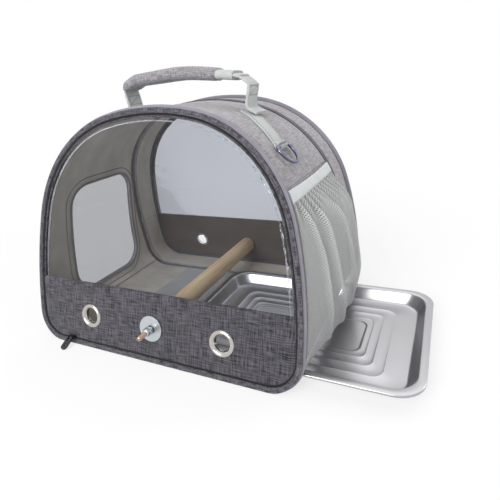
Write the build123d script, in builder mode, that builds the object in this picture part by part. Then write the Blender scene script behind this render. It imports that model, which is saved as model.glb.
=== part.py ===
"""Bird travel carrier: a soft arched bag with a clear front, a side flap, a wooden perch and a tray.

Millimetres, +Z up, origin at the centre of the underside. The front faces -Y and the tray
leaves through the right side, +X. The bag is a D-shaped outline carried straight back along Y,
and its front and rear faces both lean towards the middle.
"""
from build123d import *
import math
import os

os.makedirs("parts", exist_ok=True)

# ---------------------------------------------------------------- driving dimensions
WIDTH = 380.0
HEIGHT = 289.0
DEPTH = 302.0
FRONT_LEAN = 0.243
REAR_LEAN = 0.165
CORNER_R = 38.0
SIDE_START = 50.0
SIDE_R = 520.0
SHOULDER_R = 150.0
CROWN_R = 290.0
REACH = 260.0

# wall build-up, all measured inwards from the outline
BINDING_IN = 6.0
WALL_OUT = 1.2
WALL_IN = 5.2
BASE_IN = 3.0
BINDING_DEEP = 9.0
BINDING_PROUD = 1.2
HOOP_OUT = 1.6
HOOP_IN = 4.2
HOOP_FRONT = -4.6
HOOP_BACK = -6.2

# front face
BAND_TOP = 84.0
SPLIT_GAP = 0.6
ZIP_MID = 8.2
ZIP_IN = 10.4
ZIP_GAP = 0.4
BORDER_IN = 17.5
FACE = -0.4
PANEL_BACK = -4.0
SHEET = 0.9

# rear face and rear cover
REAR_BAND_TOP = 90.0
REAR_ZIP_FRONT = -57.0
REAR_ZIP_MID = -53.0
REAR_ZIP_BACK = -49.0
REAR_BORDER_IN = 12.0
REAR_RIM_BACK = -9.0

# side panels
BASE_TOP = 10.0
WALL_TOP = 212.0
OPENING_FRONT = -17.0
OPENING_REAR = -64.0
OPENING_TOP = 204.0
FLAP_GAP = 0.5
FLAP_LOW = 27.0
FLAP_THICK = 2.8

# side pocket
POCKET_FRONT = -11.0
POCKET_REAR = -58.5
POCKET_TOP = 190.0
POCKET_LOW = 25.0
POCKET_PLEATS = 9
POCKET_LEVELS = (POCKET_LOW, 40.0, 60.0, 105.0, 145.0, 165.0, 178.0, POCKET_TOP)
POCKET_SHEET = 1.4
POCKET_BULGE = 24.0
POCKET_RISE = 40.0
POCKET_MOUTH = 0.12
POCKET_FOOT = 60.0
POCKET_BILLOW = 18.0
POCKET_GAP = 0.9
ELASTIC_LOW = 190.4
ELASTIC_HIGH = 202.5
ELASTIC_IN = 0.2
ELASTIC_OUT = -2.2

# left window
WINDOW_R = 32.0
WINDOW_CORNERS = [(-80.0, 28.0), (-64.0, 190.0), (58.0, 190.0), (60.0, 28.0)]

# perch and its fixings
PERCH_Z = 42.0
PERCH_R = 12.5
STUD_R = 3.0
STUD_IN_WOOD = 22.0
STUD_OUT = 22.0
WASHER_R = 16.0
WASHER_HOLE_R = 3.9
BAND_HOLE_R = 4.6
WASHER_THICK = 1.5
NUT_BORE_R = 3.06
NUT_HUB_R = 5.6
NUT_LONG = 8.0

# eyelets
EYELET_X = 97.0
EYELET_R = 14.5
EYELET_BORE_R = 8.5
EYELET_WALL = 1.2
EYELET_LIP = 1.4

# tray
TRAY_LONG = 300.0
TRAY_WIDE = 213.0
TRAY_LEFT = 6.0
TRAY_FRONT = -136.0
TRAY_RIM = 21.5
TRAY_FLOOR = 5.6
TRAY_SHEET = 0.8
TRAY_FLANGE = 9.0
TRAY_SLOPE = 9.0
TRAY_R = 30.0

# handle and straps
WEB_WIDE = 28.0
WEB_THICK = 2.4
HANDLE_LEFT = -78.0
HANDLE_RIGHT = 90.0
HANDLE_LEAN = 7.0
HANDLE_TOP = 321.0
PAD_WIDE = 32.0
PAD_THICK = 13.0
RING_WIRE_R = 2.0
RING_SPAN = 34.0
RING_LONG = 26.0
RING_ANGLE = 43.0
RING_Y = -41.0

# ---------------------------------------------------------------- reference planes
FRONT = Plane(origin=(0, -DEPTH / 2, 0), x_dir=(1, 0, 0), z_dir=(0, -1, FRONT_LEAN))
REAR = Plane(origin=(0, DEPTH / 2, 0), x_dir=(-1, 0, 0), z_dir=(0, 1, REAR_LEAN))
FRONT_STRETCH = math.hypot(1, FRONT_LEAN)
REAR_STRETCH = math.hypot(1, REAR_LEAN)

# centres of the outline's arcs: the shoulder touches both the side arc and the crown arc
SIDE_C = (WIDTH / 2 - SIDE_R, SIDE_START)
CROWN_C = (0.0, HEIGHT - CROWN_R)


def touching_centre(first, first_reach, second, second_reach):
    """Return the upper right point at the given distances from two centres."""
    dx = second[0] - first[0]
    dz = second[1] - first[1]
    apart = math.hypot(dx, dz)
    along = (first_reach**2 - second_reach**2 + apart**2) / (2 * apart)
    across = math.sqrt(first_reach**2 - along**2)
    return (first[0] + (along * dx - across * dz) / apart, first[1] + (along * dz + across * dx) / apart)


SHOULDER_C = touching_centre(SIDE_C, SIDE_R - SHOULDER_R, CROWN_C, CROWN_R - SHOULDER_R)
SIDE_ANGLE = math.degrees(math.atan2(SHOULDER_C[1] - SIDE_C[1], SHOULDER_C[0] - SIDE_C[0]))
CROWN_ANGLE = math.degrees(math.atan2(SHOULDER_C[1] - CROWN_C[1], SHOULDER_C[0] - CROWN_C[0]))


def half_width(z, inset=0.0):
    """Return the outline's half width at height z, moved inwards by inset."""
    shoulder_z = SIDE_C[1] + SIDE_R * math.sin(math.radians(SIDE_ANGLE))
    if z < CORNER_R:
        return WIDTH / 2 - CORNER_R + math.sqrt((CORNER_R - inset) ** 2 - (CORNER_R - z) ** 2)
    if z < SIDE_START:
        return WIDTH / 2 - inset
    if z < shoulder_z:
        return SIDE_C[0] + math.sqrt((SIDE_R - inset) ** 2 - (z - SIDE_C[1]) ** 2)
    return SHOULDER_C[0] + math.sqrt((SHOULDER_R - inset) ** 2 - (z - SHOULDER_C[1]) ** 2)


def outline(inset):
    """Return the bag's D-shaped face, moved inwards by inset, standing in the XZ plane."""
    with BuildSketch(Plane.XZ) as face:
        with BuildLine():
            Line((0, inset), (WIDTH / 2 - CORNER_R, inset))
            CenterArc((WIDTH / 2 - CORNER_R, CORNER_R), CORNER_R - inset, -90, 90)
            Line((WIDTH / 2 - inset, CORNER_R), (WIDTH / 2 - inset, SIDE_START))
            CenterArc(SIDE_C, SIDE_R - inset, 0, SIDE_ANGLE)
            CenterArc(SHOULDER_C, SHOULDER_R - inset, SIDE_ANGLE, CROWN_ANGLE - SIDE_ANGLE)
            CenterArc(CROWN_C, CROWN_R - inset, CROWN_ANGLE, 90 - CROWN_ANGLE)
            mirror(about=Plane.YZ)
        make_face()
    return face.sketch


def ring(outer, inner, plane, low, high):
    """Add the outline's wall between two insets, cut off between two offsets of a leaning plane."""
    extrude(outline(outer), amount=REACH, both=True)
    extrude(outline(inner), amount=REACH, both=True, mode=Mode.SUBTRACT)
    split(bisect_by=plane.offset(low), keep=Keep.TOP)
    split(bisect_by=plane.offset(high), keep=Keep.BOTTOM)


def plate(inset, plane, low, high):
    """Add the whole face inside the outline, between two offsets of a leaning plane."""
    extrude(outline(inset), amount=REACH, both=True)
    split(bisect_by=plane.offset(low), keep=Keep.TOP)
    split(bisect_by=plane.offset(high), keep=Keep.BOTTOM)


def wall(outer, inner, rear_offset):
    """Add the wall from behind the front binding to an offset of the rear plane."""
    extrude(outline(outer), amount=REACH, both=True)
    extrude(outline(inner), amount=REACH, both=True, mode=Mode.SUBTRACT)
    split(bisect_by=FRONT.offset(-BINDING_DEEP), keep=Keep.BOTTOM)
    split(bisect_by=REAR.offset(rear_offset), keep=Keep.BOTTOM)


def above(z):
    """Keep what is above height z."""
    split(bisect_by=Plane.XY.offset(z), keep=Keep.TOP)


def below(z):
    """Keep what is below height z."""
    split(bisect_by=Plane.XY.offset(z), keep=Keep.BOTTOM)


def save(part, name):
    """Name the piece and write it."""
    part.label = name
    export_step(part, f"parts/{name}.step")


# ---------------------------------------------------------------- front edge and front face
with BuildPart() as front_hoop:
    ring(HOOP_OUT, HOOP_IN, FRONT, HOOP_BACK, HOOP_FRONT)
save(front_hoop.part, "front_hoop")

with BuildPart() as front_binding:
    ring(0, BINDING_IN, FRONT, -BINDING_DEEP, BINDING_PROUD)
    add(front_hoop.part, mode=Mode.SUBTRACT)
save(front_binding.part, "front_binding")

with BuildPart() as front_zip:
    ring(BINDING_IN, ZIP_MID, FRONT, PANEL_BACK, FACE)
save(front_zip.part, "front_zip")

with BuildPart() as front_band_zip:
    ring(ZIP_MID + ZIP_GAP, ZIP_IN, FRONT, PANEL_BACK, FACE)
    below(BAND_TOP)
save(front_band_zip.part, "front_band_zip")

with BuildPart() as front_band:
    plate(ZIP_IN, FRONT, PANEL_BACK, FACE)
    below(BAND_TOP)
    with BuildSketch(FRONT.offset(FACE)):
        with Locations((-EYELET_X, PERCH_Z * FRONT_STRETCH), (EYELET_X, PERCH_Z * FRONT_STRETCH)):
            Circle(EYELET_BORE_R + EYELET_WALL)
        with Locations((0, PERCH_Z * FRONT_STRETCH)):
            Circle(BAND_HOLE_R)
    extrude(amount=PANEL_BACK * 2, both=True, mode=Mode.SUBTRACT)
save(front_band.part, "front_band")

with BuildPart() as front_door_zip:
    ring(ZIP_MID + ZIP_GAP, ZIP_IN, FRONT, PANEL_BACK, FACE)
    above(BAND_TOP + SPLIT_GAP)
save(front_door_zip.part, "front_door_zip")

with BuildPart() as front_door_border:
    ring(ZIP_IN, BORDER_IN, FRONT, PANEL_BACK + SHEET, FACE)
    above(BAND_TOP + SPLIT_GAP)
save(front_door_border.part, "front_door_border")

with BuildPart() as front_window:
    plate(ZIP_IN, FRONT, PANEL_BACK, PANEL_BACK + SHEET)
    above(BAND_TOP + SPLIT_GAP)
save(front_window.part, "front_window")


def eyelet_pair(plane, z_up, back):
    """Add two pressed eyelets through a band: a rolled lip, a barrel and a flat ring behind."""
    spots = [(-EYELET_X, z_up), (EYELET_X, z_up)]
    with BuildSketch(plane.offset(FACE)) as lip:
        with Locations(*spots):
            Circle(EYELET_R)
    extrude(lip.sketch, amount=EYELET_LIP)
    chamfer(edges(Select.LAST).filter_by(GeomType.CIRCLE).group_by(SortBy.LENGTH)[-1], length=0.5)
    with BuildSketch(plane.offset(back - EYELET_LIP / 2)) as washer:
        with Locations(*spots):
            Circle(EYELET_R - 1.5)
    extrude(washer.sketch, amount=EYELET_LIP / 2)
    with BuildSketch(plane.offset(back)) as barrel:
        with Locations(*spots):
            Circle(EYELET_BORE_R + EYELET_WALL)
    extrude(barrel.sketch, amount=FACE - back)
    with BuildSketch(plane.offset(back * 3)) as bore:
        with Locations(*spots):
            Circle(EYELET_BORE_R)
    extrude(bore.sketch, amount=-back * 6, mode=Mode.SUBTRACT)


with BuildPart() as front_eyelets:
    eyelet_pair(FRONT, PERCH_Z * FRONT_STRETCH, PANEL_BACK)
save(front_eyelets.part, "front_eyelets")


# ---------------------------------------------------------------- walls, floor and left window
with BuildPart() as roof_panel:
    wall(WALL_OUT, WALL_IN, REAR_ZIP_FRONT)
    above(WALL_TOP)
save(roof_panel.part, "roof_panel")


def window_hole(grow):
    """Return the left window's shape, grown outwards, standing in the YZ plane."""
    with BuildSketch(Plane.YZ) as hole:
        with BuildLine() as edge:
            Polyline(*WINDOW_CORNERS, close=True)
        make_face()
        fillet(hole.vertices(), radius=WINDOW_R)
        if grow:
            offset(amount=grow)
    return hole.sketch


with BuildPart() as left_wall:
    wall(WALL_OUT, WALL_IN, REAR_ZIP_FRONT)
    above(BASE_TOP)
    below(WALL_TOP)
    split(bisect_by=Plane.YZ, keep=Keep.BOTTOM)
    extrude(window_hole(0), amount=-WIDTH, mode=Mode.SUBTRACT)
save(left_wall.part, "left_wall")

with BuildPart() as left_window:
    wall(WALL_OUT + 1.2, WALL_OUT + 2.4, REAR_ZIP_FRONT)
    above(BASE_TOP)
    below(WALL_TOP)
    split(bisect_by=Plane.YZ, keep=Keep.BOTTOM)
    extrude(window_hole(0), amount=-WIDTH, mode=Mode.INTERSECT)
save(left_window.part, "left_window")

with BuildPart() as left_window_binding:
    wall(WALL_OUT - 1.0, WALL_OUT, REAR_ZIP_FRONT)
    above(BASE_TOP)
    below(WALL_TOP)
    split(bisect_by=Plane.YZ, keep=Keep.BOTTOM)
    extrude(window_hole(7.0), amount=-WIDTH, mode=Mode.INTERSECT)
    extrude(window_hole(0), amount=-WIDTH, mode=Mode.SUBTRACT)
save(left_window_binding.part, "left_window_binding")

with BuildPart() as side_opening:
    extrude(outline(-20), amount=REACH, both=True)
    split(bisect_by=FRONT.offset(OPENING_FRONT), keep=Keep.BOTTOM)
    split(bisect_by=REAR.offset(OPENING_REAR), keep=Keep.BOTTOM)
    split(bisect_by=Plane.YZ.offset(WIDTH / 4), keep=Keep.TOP)
    above(BASE_TOP)
    below(OPENING_TOP)

TRAY_SLOT_LOW = 3.4
TRAY_SLOT_HIGH = FLAP_LOW
TRAY_SLOT_FRONT = -142.5
TRAY_SLOT_REAR = TRAY_FRONT + TRAY_WIDE + 1.2

with BuildPart() as tray_slot:
    with BuildSketch(Plane.YZ.offset(WIDTH / 4)):
        with Locations(((TRAY_SLOT_FRONT + TRAY_SLOT_REAR) / 2, (TRAY_SLOT_LOW + TRAY_SLOT_HIGH) / 2)):
            Rectangle(TRAY_SLOT_REAR - TRAY_SLOT_FRONT, TRAY_SLOT_HIGH - TRAY_SLOT_LOW)
    extrude(amount=WIDTH / 2)

with BuildPart() as right_wall:
    wall(WALL_OUT, WALL_IN, REAR_ZIP_FRONT)
    above(BASE_TOP)
    below(WALL_TOP)
    split(bisect_by=Plane.YZ, keep=Keep.TOP)
    add(side_opening.part, mode=Mode.SUBTRACT)
    add(tray_slot.part, mode=Mode.SUBTRACT)
save(right_wall.part, "right_wall")

with BuildPart() as base_panel:
    wall(0, BASE_IN, REAR_ZIP_FRONT)
    below(BASE_TOP)
    add(tray_slot.part, mode=Mode.SUBTRACT)
save(base_panel.part, "base_panel")

BOARD_LOW = BASE_IN
BOARD_THICK = 2.0
BOARD_LEFT = -103.0
BOARD_RIGHT = 139.0
BOARD_FRONT = -140.4
BOARD_REAR = 92.0

with BuildPart() as floor_board:
    with BuildSketch(Plane.XY.offset(BOARD_LOW)):
        with Locations(((BOARD_LEFT + BOARD_RIGHT) / 2, (BOARD_FRONT + BOARD_REAR) / 2)):
            RectangleRounded(BOARD_RIGHT - BOARD_LEFT, BOARD_REAR - BOARD_FRONT, 8)
    extrude(amount=BOARD_THICK)
save(floor_board.part, "floor_board")

# ---------------------------------------------------------------- side flap with its mesh pocket
with BuildPart() as side_flap:
    extrude(outline(WALL_OUT), amount=REACH, both=True)
    extrude(outline(WALL_OUT + FLAP_THICK), amount=REACH, both=True, mode=Mode.SUBTRACT)
    split(bisect_by=FRONT.offset(OPENING_FRONT - FLAP_GAP), keep=Keep.BOTTOM)
    split(bisect_by=REAR.offset(OPENING_REAR - FLAP_GAP), keep=Keep.BOTTOM)
    split(bisect_by=Plane.YZ, keep=Keep.TOP)
    above(FLAP_LOW)
    below(OPENING_TOP - FLAP_GAP)
save(side_flap.part, "side_flap")


def pocket_section(z, solid=False):
    """Return the pocket at height z, as a pleated skin with one arc per pleat, or filled to the wall."""
    front_y = -DEPTH / 2 + FRONT_LEAN * z - POCKET_FRONT * FRONT_STRETCH
    rear_y = DEPTH / 2 - REAR_LEAN * z + POCKET_REAR * REAR_STRETCH
    opened = math.sin(math.pi / 2 * min(1.0, (POCKET_TOP - z) / POCKET_RISE))
    drawn_in = 0.25 * max(0.0, POCKET_FOOT - z) / (POCKET_FOOT - POCKET_LOW)
    fullness = POCKET_MOUTH + (1 - POCKET_MOUTH) * opened - drawn_in
    pleat = 1.2 + 1.6 * (POCKET_TOP - z) / POCKET_TOP
    wall_x = half_width(z, WALL_OUT) + POCKET_GAP + POCKET_SHEET

    def skin(count, inward):
        share = count / POCKET_PLEATS
        swell = POCKET_BULGE * fullness * abs(math.sin(math.pi * share**1.3)) ** 0.6
        drift = POCKET_BILLOW * fullness * math.sin(math.pi * share) * share
        return (wall_x + swell - inward, front_y + (rear_y - front_y) * share + drift)

    with BuildSketch(Plane.XY.offset(z)) as section:
        with BuildLine():
            for inward in (0.0,) if solid else (0.0, POCKET_SHEET):
                for count in range(POCKET_PLEATS):
                    start = skin(count, inward)
                    end = skin(count + 1, inward)
                    middle = skin(count + 0.5, inward - pleat)
                    ThreePointArc(start, middle, end)
            if solid:
                wall_front = (wall_x - POCKET_SHEET, front_y)
                wall_rear = (wall_x - POCKET_SHEET, rear_y)
                Polyline(skin(0, 0), wall_front, wall_rear, skin(POCKET_PLEATS, 0))
            else:
                Line(skin(0, 0), skin(0, POCKET_SHEET))
                Line(skin(POCKET_PLEATS, 0), skin(POCKET_PLEATS, POCKET_SHEET))
        make_face()
    return section.sketch


with BuildPart() as mesh_pocket:
    loft([pocket_section(z) for z in POCKET_LEVELS], ruled=True)
    extrude(pocket_section(POCKET_LOW, solid=True), amount=POCKET_SHEET)
save(mesh_pocket.part, "mesh_pocket")

with BuildPart() as pocket_elastic:
    extrude(outline(ELASTIC_OUT), amount=REACH, both=True)
    extrude(outline(ELASTIC_IN), amount=REACH, both=True, mode=Mode.SUBTRACT)
    split(bisect_by=FRONT.offset(POCKET_FRONT), keep=Keep.BOTTOM)
    split(bisect_by=REAR.offset(POCKET_REAR), keep=Keep.BOTTOM)
    split(bisect_by=Plane.YZ, keep=Keep.TOP)
    above(ELASTIC_LOW)
    below(ELASTIC_HIGH)
save(pocket_elastic.part, "pocket_elastic")

# ---------------------------------------------------------------- rear section
with BuildPart() as rear_zip_front:
    wall(0.4, 2.6, REAR_ZIP_MID)
    split(bisect_by=REAR.offset(REAR_ZIP_FRONT), keep=Keep.TOP)
save(rear_zip_front.part, "rear_zip_front")

with BuildPart() as rear_zip_lower:
    ring(0.4, 2.6, REAR, REAR_ZIP_MID + ZIP_GAP, REAR_ZIP_BACK)
    below(REAR_BAND_TOP)
save(rear_zip_lower.part, "rear_zip_lower")

with BuildPart() as rear_tub:
    ring(0, WALL_IN, REAR, REAR_ZIP_BACK, REAR_RIM_BACK)
    below(REAR_BAND_TOP)
save(rear_tub.part, "rear_tub")

with BuildPart() as rear_tub_binding:
    ring(0, BINDING_IN, REAR, REAR_RIM_BACK, BINDING_PROUD)
    below(REAR_BAND_TOP)
save(rear_tub_binding.part, "rear_tub_binding")

with BuildPart() as rear_band:
    plate(BINDING_IN, REAR, PANEL_BACK, FACE)
    below(REAR_BAND_TOP)
    with BuildSketch(REAR.offset(FACE)):
        with Locations((-EYELET_X, PERCH_Z * REAR_STRETCH), (EYELET_X, PERCH_Z * REAR_STRETCH)):
            Circle(EYELET_BORE_R + EYELET_WALL)
        with Locations((0, PERCH_Z * REAR_STRETCH)):
            Circle(BAND_HOLE_R)
    extrude(amount=PANEL_BACK * 2, both=True, mode=Mode.SUBTRACT)
save(rear_band.part, "rear_band")

with BuildPart() as rear_eyelets:
    eyelet_pair(REAR, PERCH_Z * REAR_STRETCH, PANEL_BACK)
save(rear_eyelets.part, "rear_eyelets")

with BuildPart() as rear_cover_zip:
    ring(0.4, 2.6, REAR, REAR_ZIP_MID + ZIP_GAP, REAR_ZIP_BACK)
    above(REAR_BAND_TOP + SPLIT_GAP)
save(rear_cover_zip.part, "rear_cover_zip")

with BuildPart() as rear_cover_rim:
    ring(WALL_OUT, WALL_IN, REAR, REAR_ZIP_BACK, REAR_RIM_BACK)
    above(REAR_BAND_TOP + SPLIT_GAP)
save(rear_cover_rim.part, "rear_cover_rim")

with BuildPart() as rear_hoop:
    ring(HOOP_OUT, HOOP_IN, REAR, HOOP_BACK, HOOP_FRONT)
    above(REAR_BAND_TOP + SPLIT_GAP)
save(rear_hoop.part, "rear_hoop")

with BuildPart() as rear_cover_binding:
    ring(0, BINDING_IN, REAR, REAR_RIM_BACK, BINDING_PROUD)
    above(REAR_BAND_TOP + SPLIT_GAP)
    add(rear_hoop.part, mode=Mode.SUBTRACT)
save(rear_cover_binding.part, "rear_cover_binding")

with BuildPart() as rear_cover_border:
    ring(BINDING_IN, REAR_BORDER_IN, REAR, PANEL_BACK + SHEET, FACE)
    above(REAR_BAND_TOP + SPLIT_GAP)
save(rear_cover_border.part, "rear_cover_border")

with BuildPart() as rear_window:
    plate(BINDING_IN, REAR, PANEL_BACK, PANEL_BACK + SHEET)
    above(REAR_BAND_TOP + SPLIT_GAP)
save(rear_window.part, "rear_window")

# ---------------------------------------------------------------- perch and its fixings
WASHER_CLEAR = WASHER_THICK + 0.2


def face_y(plane_front, z, depth):
    """Return the Y of a leaning face at height z, moved out by depth along its normal."""
    if plane_front:
        return -DEPTH / 2 + FRONT_LEAN * z - depth * FRONT_STRETCH
    return DEPTH / 2 - REAR_LEAN * z + depth * REAR_STRETCH


PERCH_FRONT = face_y(True, PERCH_Z + PERCH_R, PANEL_BACK - EYELET_LIP) + 0.4
PERCH_REAR = face_y(False, PERCH_Z + PERCH_R, PANEL_BACK - EYELET_LIP) - 0.4
STUD_FRONT = face_y(True, PERCH_Z, WASHER_CLEAR) - STUD_OUT
STUD_REAR = face_y(False, PERCH_Z, WASHER_CLEAR) + STUD_OUT
PERCH_AXIS = Plane(origin=(0, PERCH_FRONT, PERCH_Z), x_dir=(1, 0, 0), z_dir=(0, 1, 0))

with BuildPart() as perch_studs:
    with BuildSketch(PERCH_AXIS.offset(STUD_FRONT - PERCH_FRONT)):
        Circle(STUD_R)
    extrude(amount=PERCH_FRONT - STUD_FRONT + STUD_IN_WOOD)
    with BuildSketch(PERCH_AXIS.offset(PERCH_REAR - PERCH_FRONT - STUD_IN_WOOD)):
        Circle(STUD_R)
    extrude(amount=STUD_REAR - PERCH_REAR + STUD_IN_WOOD)
    chamfer(edges().group_by(Axis.Y)[0] + edges().group_by(Axis.Y)[-1], length=0.8)
save(perch_studs.part, "perch_studs")

with BuildPart() as perch:
    with BuildSketch(PERCH_AXIS):
        Circle(PERCH_R)
    extrude(amount=PERCH_REAR - PERCH_FRONT)
    chamfer(edges().filter_by(GeomType.CIRCLE), length=1.0)
    add(perch_studs.part, mode=Mode.SUBTRACT)
save(perch.part, "perch")

with BuildPart() as perch_washers:
    for plane, stretch in ((FRONT, FRONT_STRETCH), (REAR, REAR_STRETCH)):
        with BuildSketch(plane.offset(FACE + 0.1)):
            with Locations((0, PERCH_Z * stretch)):
                Circle(WASHER_R)
                Circle(WASHER_HOLE_R, mode=Mode.SUBTRACT)
        extrude(amount=WASHER_THICK)
    chamfer(edges().filter_by(GeomType.CIRCLE).group_by(SortBy.LENGTH)[-1], length=0.4)
save(perch_washers.part, "perch_washers")

WING_OUTLINE = [(NUT_HUB_R - 1.6, 1.2), (12.5, 5.5), (15.5, 12.5), (10.0, 13.2), (NUT_HUB_R - 1.6, 7.4)]
WING_THICK = 2.6
NUT_CLEAR = NUT_HUB_R * FRONT_LEAN + WASHER_THICK + 0.3


def wing_nut(seat_y, outwards, turn):
    """Add a wing nut on the perch's axis: a tapered hub, two leaf-shaped wings and its bore."""
    across = (math.cos(math.radians(turn)), 0, math.sin(math.radians(turn)))
    seat = Plane(origin=(0, seat_y, PERCH_Z), x_dir=across, z_dir=(0, outwards, 0))
    with BuildSketch(seat) as foot:
        Circle(NUT_HUB_R)
    extrude(foot.sketch, amount=NUT_LONG, taper=8)
    wings = Plane(origin=seat.origin, x_dir=across, z_dir=seat.z_dir.cross(seat.x_dir) * -1)
    with BuildSketch(wings) as blade:
        with BuildLine():
            Polyline(*WING_OUTLINE, close=True)
        make_face()
        mirror(about=Plane.YZ)
    extrude(blade.sketch, amount=WING_THICK / 2, both=True)
    with BuildSketch(seat) as bore:
        Circle(NUT_BORE_R)
    extrude(bore.sketch, amount=NUT_LONG * 4, both=True, mode=Mode.SUBTRACT)


FRONT_NUT_Y = face_y(True, PERCH_Z, NUT_CLEAR)
REAR_NUT_Y = face_y(False, PERCH_Z, NUT_CLEAR)

with BuildPart() as front_wing_nut:
    wing_nut(FRONT_NUT_Y, -1, 35)
save(front_wing_nut.part, "front_wing_nut")

with BuildPart() as rear_wing_nut:
    wing_nut(REAR_NUT_Y, 1, 60)
save(rear_wing_nut.part, "rear_wing_nut")

# ---------------------------------------------------------------- tray
TRAY_CENTRE = (TRAY_LEFT + TRAY_LONG / 2, TRAY_FRONT + TRAY_WIDE / 2)
BASIN_LONG = TRAY_LONG - 2 * TRAY_FLANGE
BASIN_WIDE = TRAY_WIDE - 2 * TRAY_FLANGE
BASIN_R = TRAY_R - TRAY_FLANGE * 0.4
BEAD = 1.3
# raised beads in the floor: length share, width share, bead width and corner radius
BEAD_RINGS = [(0.86, 0.80, 5.0, 20.0), (0.66, 0.52, 7.0, 16.0), (0.40, 0.20, 9.0, 12.0)]


def tray_outline(z, shrink, radius):
    """Return the basin's rounded rectangle at height z, shrunk on each side."""
    with BuildSketch(Plane.XY.offset(z)) as section:
        with Locations(TRAY_CENTRE):
            RectangleRounded(BASIN_LONG - 2 * shrink, BASIN_WIDE - 2 * shrink, radius)
    return section.sketch


def floor_beads(z, height, slim, joined):
    """Add the raised beads of the tray's floor, or cut the same beads from below."""
    floor_long = BASIN_LONG - 2 * TRAY_SLOPE
    floor_wide = BASIN_WIDE - 2 * TRAY_SLOPE
    with BuildSketch(Plane.XY.offset(z)) as beads:
        with Locations(TRAY_CENTRE):
            for long_share, wide_share, wide, radius in BEAD_RINGS:
                long_out = floor_long * long_share
                wide_out = floor_wide * wide_share
                RectangleRounded(long_out - slim, wide_out - slim, radius - slim / 2)
                RectangleRounded(
                    long_out - 2 * wide + slim,
                    wide_out - 2 * wide + slim,
                    max(radius - wide + slim / 2, 2.0),
                    mode=Mode.SUBTRACT,
                )
            RectangleRounded(floor_long * 0.26 - slim, floor_wide * 0.08 - slim, 4.0)
    extrude(beads.sketch, amount=height, mode=Mode.ADD if joined else Mode.SUBTRACT)


with BuildPart() as tray:
    loft([tray_outline(TRAY_FLOOR, TRAY_SLOPE, BASIN_R - TRAY_SLOPE * 0.5),
          tray_outline(TRAY_RIM, 0, BASIN_R)])
    with BuildSketch(Plane.XY.offset(TRAY_RIM - TRAY_SHEET)):
        with Locations(TRAY_CENTRE):
            RectangleRounded(TRAY_LONG, TRAY_WIDE, TRAY_R)
    extrude(amount=TRAY_SHEET)
    with BuildSketch(Plane.XY.offset(TRAY_RIM - 3.0)) as curl:
        with Locations(TRAY_CENTRE):
            RectangleRounded(TRAY_LONG, TRAY_WIDE, TRAY_R)
            RectangleRounded(TRAY_LONG - 1.6, TRAY_WIDE - 1.6, TRAY_R - 0.8, mode=Mode.SUBTRACT)
    extrude(curl.sketch, amount=3.0)
    loft(
        [tray_outline(TRAY_FLOOR + TRAY_SHEET, TRAY_SLOPE + TRAY_SHEET, BASIN_R - TRAY_SLOPE * 0.5 - TRAY_SHEET),
         tray_outline(TRAY_RIM + TRAY_SHEET / 2, TRAY_SHEET * 0.7, BASIN_R - TRAY_SHEET)],
        mode=Mode.SUBTRACT,
    )
    floor_beads(TRAY_FLOOR + TRAY_SHEET, BEAD, 0.0, True)
    floor_beads(TRAY_FLOOR, BEAD, 1.6, False)
save(tray.part, "tray")

# ---------------------------------------------------------------- handle and shoulder straps
HINGE_CLEAR = 3.0


def roof_height(x, inset):
    """Return the height of the shoulder's surface at x, moved inwards by inset."""
    return SHOULDER_C[1] + math.sqrt((SHOULDER_R - inset) ** 2 - (abs(x) - SHOULDER_C[0]) ** 2)


HANDLE_FOOT = roof_height(HANDLE_LEFT, WALL_OUT) + HINGE_CLEAR
HANDLE_HINGE = HANDLE_FOOT + WEB_WIDE / 2
HANDLE_PATH = [
    (HANDLE_LEFT, HANDLE_FOOT),
    (HANDLE_LEFT - 5, HANDLE_TOP - 9),
    (HANDLE_LEFT + 13, HANDLE_TOP - 1.5),
    (HANDLE_LEAN, HANDLE_TOP + 1.5),
    (HANDLE_RIGHT + HANDLE_LEAN - 14, HANDLE_TOP - 8),
    (HANDLE_RIGHT + HANDLE_LEAN - 0.5, HANDLE_TOP - 18),
    (HANDLE_RIGHT, HANDLE_FOOT),
]
HANDLE_BENDS = [8.0, 20.0, 240.0, 12.0, 7.0]
PAD_FROM = HANDLE_LEFT + 1
PAD_TO = 62.0

with BuildPart() as handle_webbing:
    with BuildSketch(Plane.XZ) as ribbon:
        with BuildLine() as path:
            FilletPolyline(*HANDLE_PATH, radius=HANDLE_BENDS)
        trace(path.line, line_width=WEB_THICK)
    extrude(amount=WEB_WIDE / 2, both=True)
    with BuildSketch(Plane.YZ) as rounded:
        with Locations((0, HANDLE_HINGE)):
            Circle(WEB_WIDE / 2)
        with Locations((0, HANDLE_HINGE + HEIGHT / 2)):
            Rectangle(WEB_WIDE, HEIGHT)
    extrude(amount=WIDTH, both=True, mode=Mode.INTERSECT)
save(handle_webbing.part, "handle_webbing")

with BuildPart() as handle_pad:
    with BuildSketch(Plane.XZ) as sleeve:
        with BuildLine() as path:
            FilletPolyline(*HANDLE_PATH, radius=HANDLE_BENDS)
        trace(path.line, line_width=PAD_THICK)
    extrude(amount=PAD_WIDE / 2, both=True)
    split(bisect_by=Plane.YZ.offset(PAD_TO), keep=Keep.BOTTOM)
    split(bisect_by=Plane(origin=(PAD_FROM, 0, HANDLE_TOP - 6), z_dir=(-1, 0, -0.9)), keep=Keep.BOTTOM)
    add(handle_webbing.part, mode=Mode.SUBTRACT)
save(handle_pad.part, "handle_pad")

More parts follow.
